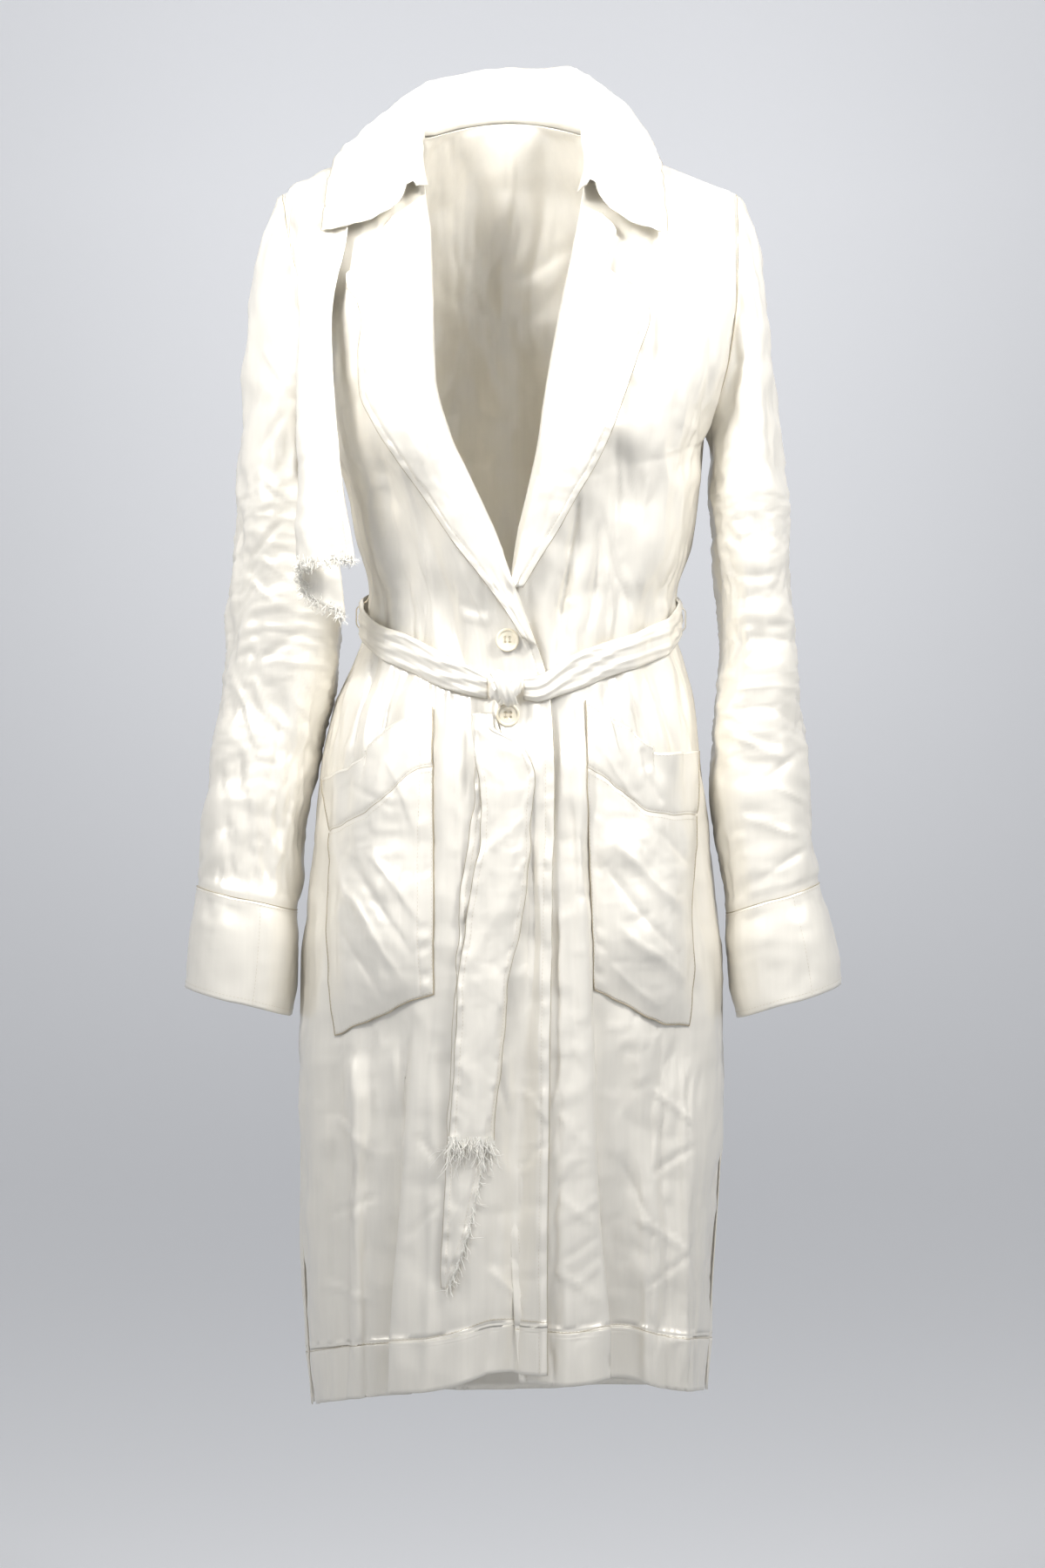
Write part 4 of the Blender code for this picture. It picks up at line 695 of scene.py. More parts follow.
stage()
WARM = (1, .985, .96)
light("key_left", (-1.05, -1.30, .95), (0, 0, .15), (.55, .8), 10.5, WARM, 71)
light("key_right", (1.15, -1.25, .98), (0, 0, .06), (.55, .8), 12.5, WARM, 80)
light("front_low", (0, -4.8, -.6), (0, 0, -.6), (3, 1.0), 4, (1, .98, .95))
light("back_wash", (0, 3.4, 2.6), (0, 0, -.5), (3, 2), 15, (.97, .98, 1))
world = bpy.data.worlds.new("world")
bpy.context.scene.world = world
world.use_nodes = True
sky = world.node_tree.nodes["Background"].inputs
sky["Color"].default_value, sky["Strength"].default_value = (.93, .93, .92, 1), .13
bpy.context.scene.view_settings.view_transform = "Standard"


# ---------------------------------------------------------------- materials
def mix(mat, a, b, factor, blend="MIX"):
    return add(mat, "Mix", {"data_type": "RGBA", "blend_type": blend}, A=a, B=b,
               Factor=factor).outputs["Result"]


def shades(colour, dark, light):
    return (*[c * dark for c in colour], 1), (*[min(1, c * light) for c in colour], 1)


def satin(name, colour, rough=.38, weave=1.0, sheen=.05, coat=.35, creased=.28):
    """Silky cloth: close warp threads with slubs, a soft sheen, faint tone changes."""
    mat, bsdf, where = material(name)

    def grain(scale, stretch, settings={}, **sockets):
        at = add(mat, "Mapping", Vector=where, Scale=stretch).outputs[0]
        return add(mat, "TexNoise", settings, Vector=at, Scale=scale, **sockets).outputs["Fac"]

    tone = grain(5.0, (1, 1, .5), Detail=4.0)
    slub = grain(160.0, (1, 1, .06), Detail=3.0, Roughness=.6)
    weft = grain(200.0, (.06, .06, 1), Detail=2.0)
    thread = grain(1500.0, (1, 1, .12), Detail=1.0)
    crease = grain(34.0, (1, 1, .62), {"noise_type": "RIDGED_MULTIFRACTAL"},
                   Detail=3.0, Roughness=.5, Distortion=.6)
    total = calc(mat, "MULTIPLY", slub, .5 * weave)
    for t, strength in ((weft, .35), (thread, .25)):
        total = calc(mat, "ADD", total, calc(mat, "MULTIPLY", t, strength * weave))
    rumple = add(mat, "Bump", Strength=creased, Distance=.0011, Height=crease).outputs[0]
    bump = add(mat, "Bump", Strength=.22 * weave, Distance=.0004, Height=total, Normal=rumple)
    feed(mat, bsdf, Base_Color=mix(mat, mix(mat, *shades(colour, .965, 1.03), tone), slub, .10, "MULTIPLY"),
         Normal=bump.outputs[0],
         Roughness=add(mat, "MapRange", Value=slub, To_Min=rough - .05, To_Max=rough + .07).outputs["Result"],
         Specular_IOR_Level=.6, Metallic=.25, Coat_Weight=coat, Coat_Roughness=.26, Coat_IOR=1.5,
         Sheen_Weight=sheen, Sheen_Roughness=.45, Sheen_Tint=(1, .98, .94, 1))
    return mat


def polished(name, colour):
    """A cream button: cloudy tone and a faint cloudy bump."""
    mat, bsdf, where = material(name)
    cloud = add(mat, "TexNoise", Vector=where, Scale=220, Detail=3).outputs["Fac"]
    feed(mat, bsdf, Base_Color=mix(mat, *shades(colour, .93, 1.05), cloud),
         Normal=add(mat, "Bump", Strength=.12, Distance=.0002, Height=cloud).outputs[0],
         Roughness=.24, Coat_Weight=.3, Subsurface_Weight=.1, Subsurface_Radius=(.002, .0015, .001))
    return mat


IVORY = (.86, .825, .745)
MATT = dict(coat=0.0, creased=0.0)
SATIN = satin("satin", IVORY)
BELT_SATIN = satin("belt_satin", IVORY, rough=.42, coat=.2)
# painted light: the yarns are the cloth's own silk, given a lighter colour than the cloth so they stay bright
# where they fall in shade
YARN = satin("yarn", (.97, .95, .89), rough=.8, weave=.4, sheen=.3, **MATT)
# real stitches, with a colour darker than the cloth that is partly painted shade of the stitch lines
THREAD = satin("thread", (.66, .59, .46), rough=.6, weave=.3, sheen=.1, **MATT)
# painted shade: a dark cream for thin cords that stand for the shadow along seams and under edges
SHADE = satin("seam_shade", (.50, .43, .31), rough=.7, weave=.3, sheen=0.0, **MATT)
CREAM = polished("cream_button", (.86, .79, .63))


# ---------------------------------------------------------------- small folds, seams and thread
def crease_height(x, z, tab):
    """Small folds along straight lines: soft on one side, steep on the other."""
    out = np.zeros_like(x)
    wobble = .0026 * noise(np.stack([x, 0 * x, z], -1), (.035, 1, .035), 77)
    for k, (x0, z0, x1, z1, wide, high) in enumerate(in_metres(tab)):
        dx, dz = x1 - x0, z1 - z0
        ln = math.hypot(dx, dz)
        t = ((x - x0) * dx + (z - z0) * dz) / ln ** 2
        q = (((x - x0) * dz - (z - z0) * dx) / ln + wobble) * (1 if k % 2 else -1) / wide
        across = np.where(q < 0, np.exp(-np.minimum(q * q, 40)), np.exp(-np.clip(q, 0, 40) * 1.9))
        fall = 1 if z1 < OPEN_BELOW else part((1.08 - t) / .3)
        out += high * ease(part((t + .08) / .3) * fall) * across
    return out


def from_end(p, axis, last=True):
    """Distance of each point of a grid from its last (or first) row or column."""
    d = np.linalg.norm(np.diff(p, axis=axis), axis=2)
    c = np.cumsum(np.flip(d, axis) if last else d, axis=axis)
    c = np.concatenate([np.zeros_like(np.take(c, [0], axis)), c], axis)
    return np.flip(c, axis) if last else c


def ladder(s, d, seed, high=.0007, at=.0045, wide=.0042, period=.0075):
    """Small puckers across a sewn edge: s along it, d the distance from it."""
    q = np.stack([s, d * .25, 0 * s], -1)
    return high * bell(d, at, wide) * (noise(q, (period, period, 1), seed)
                                       + .6 * noise(q, (period * 2.3, period, 1), seed + 1))


def inset(p, n, d, across=True, last=True):
    """The line on a grid that keeps the distance d from an edge, with its outward turns."""
    if not across:
        p, n = p.transpose(1, 0, 2), n.transpose(1, 0, 2)
    dist, cols = from_end(p, 1, last), np.arange(p.shape[1])
    pts, out = [], []
    for i, row in enumerate(dist):
        j = np.interp(d, row[::-1], cols[::-1]) if last else np.interp(d, row, cols)
        a = min(int(j), p.shape[1] - 2)
        pts.append(p[i, a] * (1 - j + a) + p[i, a + 1] * (j - a))
        out.append(n[i, a] * (1 - j + a) + n[i, a + 1] * (j - a))
    return np.array(pts), unit(np.array(out))


def all_round(p, n, i):
    """A row of a tube and its outward turns, closed."""
    return np.append(p[i], p[i, :1], 0), np.append(n[i], n[i, :1], 0)


def below(line, z):
    """The stretch of a line that lies under a height."""
    keep = line[0][:, 2] < z
    return line[0][keep], line[1][keep]


def stitches(name, lines, slot="satin", pitch=.0034, share=.62, thick=.00030, lift=.00012):
    """Sewn thread: a short raised stitch in each step along lines on the cloth."""
    grids = []
    for pts, out in lines:
        s = run(pts)
        mid = np.arange(pitch, s[-1] - pitch * .5, pitch)
        c0, cm, c1 = (on_line(mid + pitch * share * k, s, pts) for k in (-.5, 0, .5))
        n = on_line(mid, s, out)
        lat = np.cross(n, unit(c1 - c0))
        cuts = []
        for c, h, w in ((c0, -.6, .6), (cm, .5, 1.0), (c1, -.6, .6)):
            base, r = c + n * (h * thick + lift), .5 * thick * w
            cuts.append(np.stack([base + n * r, base + lat * r, base - n * r, base - lat * r], 1))
        grids += list(np.stack(cuts, 1))
    tubes(name, grids, THREAD, slot=slot)


def painted_shade_line(name, lines, radius=.00032, sink=0.0):
    """A fine line of painted shade where two layers meet: a thin dark cord half sunk in the cloth."""
    grids = []
    for pts, out in lines:
        c, lat = pts - out * sink, np.cross(out, unit(np.gradient(pts, axis=0))) * radius
        grids.append(np.stack([c + out * radius, c - lat, c + lat], 1))
    tubes(name, grids, SHADE)


def yarns(name, roots, heads, lengths, seed, node, steps=8, curl=.22, thick=.00055, droop=.5):
    """Loose frayed yarns: thin bent tubes that taper to a point and stay near the cloth."""
    r = np.random.default_rng(seed)
    turn, near = np.array([0, 2.094, 4.189])[None, :, None], .0075
    grids = []
    for root, head, length in zip(roots, heads, lengths):
        d = unit(head)
        pts = [root - d * .0025, root]
        bend = r.normal(0, curl * .5, 3)
        for _ in range(steps - 1):
            d = unit(d + bend + r.normal(0, curl, 3) + np.array([0, 0, -droop / steps]))
            pts.append(pts[-1] + d * length / (steps - 1))
        pts = np.array(pts)
        pts[:, 1] = root[1] + near * np.tanh((pts[:, 1] - root[1]) / near)
        t = unit(np.gradient(pts, axis=0))
        u = unit(np.cross(t, [.31, .95, .05]))
        radius = thick * (.6 + .8 * r.random()) * np.linspace(1, .35, len(pts))
        grids.append(pts[:, None] + radius[:, None, None] * (u[:, None] * np.cos(turn)
                                                             + np.cross(t, u)[:, None] * np.sin(turn)))
    tubes(name, grids, YARN, (node,))


def strap(path, out, half, thick, across=18, ridges=.55, seed=5):
    """Rings of a flat band along a path; out is the way its face looks, at each point."""
    half, thick = (np.broadcast_to(a, len(path))[:, None] for a in (half, thick))
    s, mid, face = run(path), path[:, None], out[:, None]
    lat = unit(np.cross(out, unit(np.gradient(path, axis=0))))[:, None]
    c = np.cos(np.linspace(PI, 0, across))[None]
    top = 1 - np.abs(c) ** 5
    wave = ridges * (1 - np.abs(np.sin(PI * (c * 1.3 + (s / .035 + .6 * line_noise(s, .02, seed))[:, None]))))
    front = mid + lat * (half * c)[..., None] + face * (thick * top ** .5 * (1 + wave))[..., None]
    c, top = c[:, -2:0:-1], top[:, -2:0:-1]
    back = mid + lat * (half * c)[..., None] - face * (thick * .12 * top)[..., None]
    return np.concatenate([front, back], 1)


# ---------------------------------------------------------------- body panels
HEM_BAND = .0484                               # the hem's depth
tight = 1.945 + np.arange(-4, 5) * .0015       # close rows at the hem band's seam
front_v = np.sort(np.concatenate([np.linspace(0, 1, 84)[:-1], np.linspace(1, 2, 196), tight]))
back_v = np.sort(np.concatenate([np.linspace(0, 1, 60)[:-1], np.linspace(1, 2, 135), tight]))
edge_in = 1 - np.cumsum(np.r_[0, [.0045] * 8])[::-1]        # close columns along the front edge
front_u = np.concatenate([np.linspace(0, edge_in[0], 114)[:-1], edge_in])
back_u = np.linspace(0, 1, 180)


def at_edges(p, sides, reach_by=3):
    """1 at the sewn edges of a grid (top, bottom, left, right), fading inward over a few points."""
    rows, cols = p.shape[:2]
    f = np.zeros((rows, cols))
    i, j = np.arange(rows)[:, None], np.arange(cols)[None, :]
    for s, away in (("t", i), ("b", rows - 1 - i), ("l", j), ("r", cols - 1 - j)):
        if s in sides:
            f = np.maximum(f, part(1 - away / reach_by) + 0 * j)
    return f


def worn(p, n, edges):
    """Buckles a body panel by how loose it lies at each height."""
    z = p[..., 2]
    skirt, waist, upper = window(z, -1.3, -.56, .10), window(z, -.60, -.40, .08), window(z, -.44, .2, .08)
    seed = ((.0045 * noise(p, (.035, .035, .30), 3) + .0050 * crumple(p, (.055, .055, .11), 11)) * skirt
            + .0050 * noise(p, (.018, .018, .12), 13) * waist
            + (.0040 * noise(p, (.040, .040, .12), 5) + .0040 * crumple(p, (.045, .045, .08), 21)) * upper)
    return buckle(p, n, seed, .016 + .008 * skirt + .040 * waist + .008 * upper,
                  .012 + .010 * skirt + .006 * upper, at_edges(p, edges, 4))


def hem_band(p, n, seed):
    """The doubled hem: a step, a groove and puckers along its seam."""
    up, s = from_end(p, 0), from_end(p, 1, False)
    h = .0006 * step_down(up, .0480, .0010) - .0004 * bell(up, .0486, .0014)
    return out_by(p, n, h + ladder(s, np.abs(up - HEM_BAND), seed, .0006, .003, .006, .012))


FRONT, FRONT_N = {}, {}
for side in (-1, 1):
    p = front_surface(side, front_u, front_v)
    n = normals(p) * side
    free = part(front_u * 10)[None, :] * part(front_v * 5)[:, None]
    p = out_by(p, n, crease_height(p[..., 0], p[..., 2], CREASES[side]) * free
               * (1 + .4 * window(p[..., 2], -1.4, -.70, .1)))
    p = worn(p, n, "tl")
    n = normals(p) * side
    p = hem_band(p, n, 101)
    s, d = from_end(p, 0), from_end(p, 1)
    p = out_by(p, n, (ladder(s, d, 103, .0013, .0045, .0045, .010) - .0006 * bell(d, .0078, .0012))
               * window(p[..., 2], -1.4, -.43, .02))
    FRONT[side], FRONT_N[side] = p, normals(p) * side
    cloth("front_" + WORD[side], p, side)
BACK = back_surface(back_u, back_v)
BACK = worn(BACK, -normals(BACK), "tlr")
BACK = hem_band(BACK, -normals(BACK), 107)
BACK_N = -normals(BACK)
cloth("back", BACK, -1)

PANELS = [(FRONT[-1], FRONT_N[-1]), (FRONT[1], FRONT_N[1]), (BACK, BACK_N)]
stitches("body_stitches", [inset(p, n, .0488, False) for p, n in PANELS]
         + [below(inset(p, n, .0078), -.44) for p, n in PANELS[:2]])
# painted shade: a dark cord along the hem band's seam on each panel
painted_shade_line("body_seam_painted_shade", [inset(p, n, .0480, False) for p, n in PANELS], sink=.0001)

# ---------------------------------------------------------------- sleeves and cuffs
AROUND, ROWS, HEAD_ROWS = 96, 172, 44
phi = np.linspace(0, 2 * PI, AROUND, endpoint=False)
up = (1 + np.cos(phi)) / 2


def sleeve_grid(side, tab):
    """Rings of a sleeve: from the armhole to its first section, then down the sections."""
    z0 = SIDE_SEAM_TOP + ARM_DEPTH_HALF * (1 + np.cos(phi))
    p0 = np.stack([read(ARM, XS[side], z0), -ARM_Y_HALF * np.sin(phi), z0], 1)
    p1 = ring_at(tab, tab["z"][0] * MM, side, phi)
    t0 = np.stack([side * (.030 + .060 * up), -.010 * np.sin(phi), -.035 - .03 * up], 1)
    t1 = np.stack([side * .030 * up, 0 * phi, -.05 - .24 * up], 1)
    grid = [(1 - ease(t)) * p0 + (t ** 3 - 2 * t * t + t) * t0 + ease(t) * p1 + (t ** 3 - t * t) * t1
            for t in np.linspace(0, 1, HEAD_ROWS + 1)[:-1]]
    grid += [ring_at(tab, z * MM, side, phi) for z in np.linspace(-320, -690, ROWS - HEAD_ROWS)]
    return np.array(grid)


SLEEVES, SLEEVES_N, CUFFS, CUFFS_N = {}, {}, {}, {}
cuff_lines = []
row = np.arange(ROWS)[:, None]
for side in (-1, 1):
    p = sleeve_grid(side, SLEEVE[side])
    n = normals(p, True) * side
    x, z = p[..., 0], p[..., 2]
    head = .0022 * bell(row, 5, 11) * part(row / 3) * up ** 1.5 * np.sin(phi * 19 + 1.4 * np.sin(phi * 5))
    free = part(row / 8) * part((ROWS - 1 - row) / 5)
    p = out_by(p, n, crease_height(x, z, SLEEVE_CREASES[side]) * part(np.sin(phi) * 2.5) * free
               + crease_height(x + .006, z + .023, SLEEVE_CREASES[side]) * part(-np.sin(phi) * 2.5) * free
               + head)
    elbow = window(z, -.56, -.30, .08)
    h = .0045 * noise(p, (.04, .05, .14), 31 + side) + .0055 * crumple(p, (.045, .05, .055), 41 + side)
    p = buckle(p, n, h, .016 + .008 * elbow, .020 + .024 * elbow, at_edges(p, "tb", 4), closed=True)
    SLEEVES[side], SLEEVES_N[side] = p, normals(p, True) * side
    cloth("sleeve_" + WORD[side], p, side, closed=True)
    c = np.array([ring_at(CUFF[side], z * MM, side, phi) for z in np.linspace(-688.2, -782, 36)])
    n = normals(c, True) * side
    c = c + n * .0009
    c = out_by(c, n, .0007 * crumple(c, (.03, .03, .02), 65 + side) * np.exp(-np.arange(36) / 5)[:, None])
    c = buckle(c, n, .0026 * crumple(c, (.05, .05, .06), 61 + side), .010, .010, at_edges(c, "t"),
               closed=True)
    CUFFS[side], CUFFS_N[side] = c, normals(c, True) * side
    cloth("cuff_" + WORD[side], c, side, closed=True)
    seam = int(AROUND * (.20 if side > 0 else .30))
    cuff_lines += [all_round(c, CUFFS_N[side], 1), all_round(c, CUFFS_N[side], -3),
                   (c[:, seam], CUFFS_N[side][:, seam])]
stitches("cuff_stitches", cuff_lines)
# painted shade: dark cords round the top of each cuff and round each armhole
painted_shade_line("cuff_and_armhole_painted_shade", [all_round(CUFFS[k], CUFFS_N[k], 0) for k in (-1, 1)]
          + [all_round(SLEEVES[k], SLEEVES_N[k], 1) for k in (-1, 1)])


# ---------------------------------------------------------------- lapels
def lapel_grid(side, v, leaf, under):
    """A lapel from the roll line out, laid on the pieces below it."""
    edge, tab = EDGES[side], LAPEL_OUT[side]
    roll = np.stack([read_v(edge, c, v) for c in "xyz"], 1)
    ox, oz, lift = (read_v(tab, c, v)[:, None] for c in ("x", "z", "lift"))
    c = leaf[None, :]
    x = roll[:, :1] + (ox - roll[:, :1]) * c
    z = roll[:, 2:] + (oz - roll[:, 2:]) * c
    y = front_y(under, np.where(c > 0, x, x + side * .001), z)
    y = np.where(np.isnan(y), roll[:, 1:2], y) - .0008 - WALL - lift * np.sin(c * 1.9)
    for _ in range(12):
        y[1:-1] = np.minimum(y[1:-1], .25 * y[:-2] + .5 * y[1:-1] + .25 * y[2:])
        y[:, 1:-1] = np.minimum(y[:, 1:-1], .25 * y[:, :-2] + .5 * y[:, 1:-1] + .25 * y[:, 2:])
    p = np.stack([x, y, z], -1)
    h = (crease_height(x, z, LAPEL_CREASES[side]) * part(c * 5) * .8
         + .0012 * (1 + crumple(p, (.03, .03, .035), 71)) * np.clip(c * 6, .1, 1)
         + .0012 * (1 + noise(p, (.016, .016, .05), 72 + side)) * part(c * 6))
    p[..., 1] -= np.maximum(h + .0022, 0) * part(c * 8)
    s, d = from_end(p, 0), from_end(p, 1)
    p[..., 1] -= ladder(s, d, 73 + side, .0011, .0035, .004, .0075) - .0006 * bell(d, .0062, .0012)
    return p


leaf = np.concatenate([np.linspace(0, .86, 24)[:-1], np.linspace(.86, 1, 12)])
LAPEL, LAPEL_N = {}, {}
for side, v in ((1, np.linspace(.22, 1.12, 190)), (-1, np.linspace(.21, 1.185, 200))):
    LAPEL[side] = lapel_grid(side, v, leaf, tree_of(FRONT[-1], FRONT[1], *LAPEL.values()))
    LAPEL_N[side] = normals(LAPEL[side]) * -side
    cloth("lapel_" + WORD[side], LAPEL[side], -side)
stitches("lapel_stitches", [inset(LAPEL[s], LAPEL_N[s], .0062) for s in (-1, 1)])


# ---------------------------------------------------------------- pockets
def along(points, s):
    pts = np.array(points, float) * MM
    d = run(pts)
    return on_line(s * d[-1], d, pts)


def place_on_front(side, xz):
    """The place (u, v) on a front panel that shows at each x, z."""
    uu, vv = np.meshgrid(np.linspace(0, 1, 361), np.linspace(1.15, 1.75, 361))
    g = sample(FRONT[side], uu, vv, front_u, front_v)
    out = np.zeros(xz.shape)
    for k in np.ndindex(xz.shape[:-1]):
        d = (g[..., 0] - xz[k][0]) ** 2 + (g[..., 2] - xz[k][1]) ** 2
        i = np.unravel_index(np.argmin(d), d.shape)
        out[k] = uu[i], vv[i]
    return out


def finer(a, rows, cols):
    """A coarse grid read on finer rows and columns, smoothly."""
    r0, c0 = np.arange(a.shape[0]), np.arange(a.shape[1])
    r, c = np.linspace(0, r0[-1], rows), np.linspace(0, c0[-1], cols)
    b = np.stack([[smooth(c0, a[i, :, k], c) for i in r0] for k in range(2)], -1)
    b = np.stack([[smooth(r0, b[:, j, k], r) for j in range(cols)] for k in range(2)], -1)
    return b.transpose(1, 0, 2)


MOUTH_BAND = {-1: .20, 1: .23}                 # the mouth band's seam, as a share of the height
POCKET_WIDE, POCKET_DEEP, POCKET_ROWS = .11, .24, 104


def pocket_grid(side, cols=88, rows=POCKET_ROWS):
    """A patch pocket laid on its front panel: a slack mouth, a sagging bag and sewn sides."""
    line = np.linspace(0, 1, 10)
    top, foot, inner, outer = (along(POCKETS[side][k], line) for k in ("top", "foot", "inner", "outer"))
    S, T = (a[..., None] for a in np.meshgrid(line, line))
    g = ((1 - T) * top[None] + T * foot[None] + (1 - S) * inner[:, None] + S * outer[:, None]
         - (1 - S) * (1 - T) * top[0] - S * (1 - T) * top[-1] - (1 - S) * T * foot[0] - S * T * foot[-1])
    uv = finer(place_on_front(side, g), rows, cols)

    def there(grid):
        return sample(grid, uv[..., 0], uv[..., 1], front_u, front_v)

    p, out = there(FRONT[side]), unit(blur(there(FRONT_N[side]), 6))
    p[..., 1] = np.minimum(p[..., 1], there(blur(FRONT[side].copy(), 10))[..., 1] - .0006)
    S, T = np.meshgrid(np.linspace(0, 1, cols), np.linspace(0, 1, rows))
    mouth = np.sin(PI * part(S * 1.02) ** 1.3) * part(1 - T * 2.6) * .011
    sag = np.sin(PI * S) ** .8 * np.sin(PI * part(T * .97) ** 1.6) * .012
    sewn = part(np.minimum(np.minimum(S, 1 - S) * 9, (1 - T) * 14))
    p = blur(out_by(p, out, .0006 + (WALL + .0012) * sewn + mouth + sag), 3)
    loose = np.sin(PI * S) ** .5 * np.sin(PI * part(T * .94 + .05)) ** .5
    h = loose * (1.3 * crease_height(p[..., 0], p[..., 2], POCKET_CREASES[side])
                 + .0024 * crumple(p, (.05, .05, .045), 81 + side))
    down, seam = T * POCKET_DEEP, MOUTH_BAND[side] * POCKET_DEEP
    h += -.0012 * bell(down, seam, .0016) + .0008 * step_down(down, seam, .0008) \
        + ladder(S * POCKET_WIDE, np.abs(down - seam), 83, .0009, .002, .006, .010) \
        + ladder(down, S * POCKET_WIDE, 85, .0011 if side < 0 else .0007, .008, .006, .008) * part(S * 30)
    if side < 0:
        h -= .0007 * bell(S * POCKET_WIDE, .0125, .0012)
    return out_by(p, out, h)


POCKET, POCKET_N = {}, {}
pocket_lines, band_lines = [], []
for side in (-1, 1):
    p = POCKET[side] = pocket_grid(side)
    n = POCKET_N[side] = normals(p) * -side
    cloth("pocket_" + WORD[side], p, -side)
    i = int(round(MOUTH_BAND[side] * (POCKET_ROWS - 1)))
    band_lines.append((p[i], n[i]))
    pocket_lines += [(p[k], n[k]) for k in (i - 1, i + 2, -2)] + [(p[3:, k], n[3:, k]) for k in (-2, 1)] \
        + [(p[1], n[1])]
    if side < 0:
        pocket_lines.append((p[3:, 10], n[3:, 10]))
stitches("pocket_stitches", pocket_lines)
# painted shade: a dark cord along each pocket's mouth band seam
painted_shade_line("pocket_band_painted_shade", band_lines, .0004)

# ---------------------------------------------------------------- storm flap
flap = flap_grid(np.linspace(0, 1, 110), np.linspace(0, 1, 52))
fn = normals(flap)
soft = .0024 * crumple(flap, (.035, .035, .07), 91) + .0018 * noise(flap, (.014, .014, .10), 92)
flap = out_by(flap, fn, soft) + np.array([0, -.0025, .001])
flap = buckle(flap, fn, .0035 * crumple(flap, (.03, .03, .06), 93), .014, .014, at_edges(flap, "t"))
cloth("storm_flap", flap, 1)
stitches("flap_stitches", [inset(flap, normals(flap), .0062, True, False)])
rng = np.random.default_rng(17)
roots, heads, lengths = [], [], []
for _ in range(430):
    j = rng.random() * (flap.shape[1] - 1.001)
    i = flap.shape[0] - 1 - int(rng.random() ** 2 * 3)
    a = int(j)
    q = flap[i, a] * (1 - j + a) + flap[i, a + 1] * (j - a)
    roots.append(q - fn[i, a] * WALL * rng.random())
    heads.append(np.array([rng.normal(0, .35), -.25 * rng.random() + .1, -1]))
    lengths.append(.005 + .008 * rng.random())
yarns("storm_flap_frayed_edge", roots, heads, lengths, 18, "storm_flap_fringe", steps=6, curl=.34)

# ---------------------------------------------------------------- collar
STAND = 7
cs = np.linspace(-1, 1, 250)
collar = collar_grid(cs, np.linspace(0, 1, 30)[1:], np.linspace(0, 1, STAND + 1)[:-1])
cn = -normals(collar)
t = part((np.arange(collar.shape[0]) - STAND) / 28)[:, None]
q = np.stack(np.broadcast_arrays(cs[None, :], .4 * t, 0 * t), -1)
collar = out_by(collar, cn, .0030 * noise(q, (.085, .9, 1), 111) * np.sin(PI * part(t * .85 + .1))
                + .0022 * noise(q, (.035, .5, 1), 112) * part(1.2 - t * 1.2) * part(t * 6)
                + .0016 * crumple(collar, (.035, .035, .03), 113) * part(t * 3))
collar = buckle(collar, cn, .0030 * crumple(collar, (.03, .03, .03), 114), .014, .012,
                at_edges(collar, "t", 6), hold=.006)
cn = -normals(collar)
s, rim = from_end(collar, 1), from_end(collar, 0)
ends = np.minimum(s, from_end(collar, 1, False))
d = np.minimum(rim, ends + 1 - part(t * 3))
collar = out_by(collar, cn, ladder(s, rim, 115, .0012, .004, .004, .0075)
                + ladder(rim, ends, 117, .0010, .004, .004, .0075) * part(t * 4)
                - .0006 * bell(d, .0064, .0012) * part(t * 4 - .3))
cn = -normals(collar)
cloth("collar", collar, -1)
collar_lines = [[a[6:-6] for a in inset(collar, cn, .0064, False)]]
for last in (True, False):
    collar_lines.append([a[STAND + 5:-5] for a in inset(collar, cn, .0064, True, last)])
stitches("collar_stitches", collar_lines)

# ---------------------------------------------------------------- belt
WORN = tree_of(FRONT[-1], FRONT[1], BACK, LAPEL[-1], LAPEL[1], POCKET[-1], POCKET[1])
KNOT = dict(x=-.0032, z=-.4988, half_x=.0156, half_z=.0150, half_y=.0105)
BELT_MID = .005


def reach(under, a, z):
    """How far out the coat reaches at turn a and height z, from the middle of the waist."""
    d, mid = Vector((math.sin(a), -math.cos(a), 0)), Vector((BELT_MID, 0, z))
    hit = under.ray_cast(mid + d * .5, -d)
    return (hit[0] - mid).length if hit[0] is not None else .1


def belt_height(a):
    return smooth(BELT_Z["turn"], BELT_Z["z"] * MM, np.degrees(a))


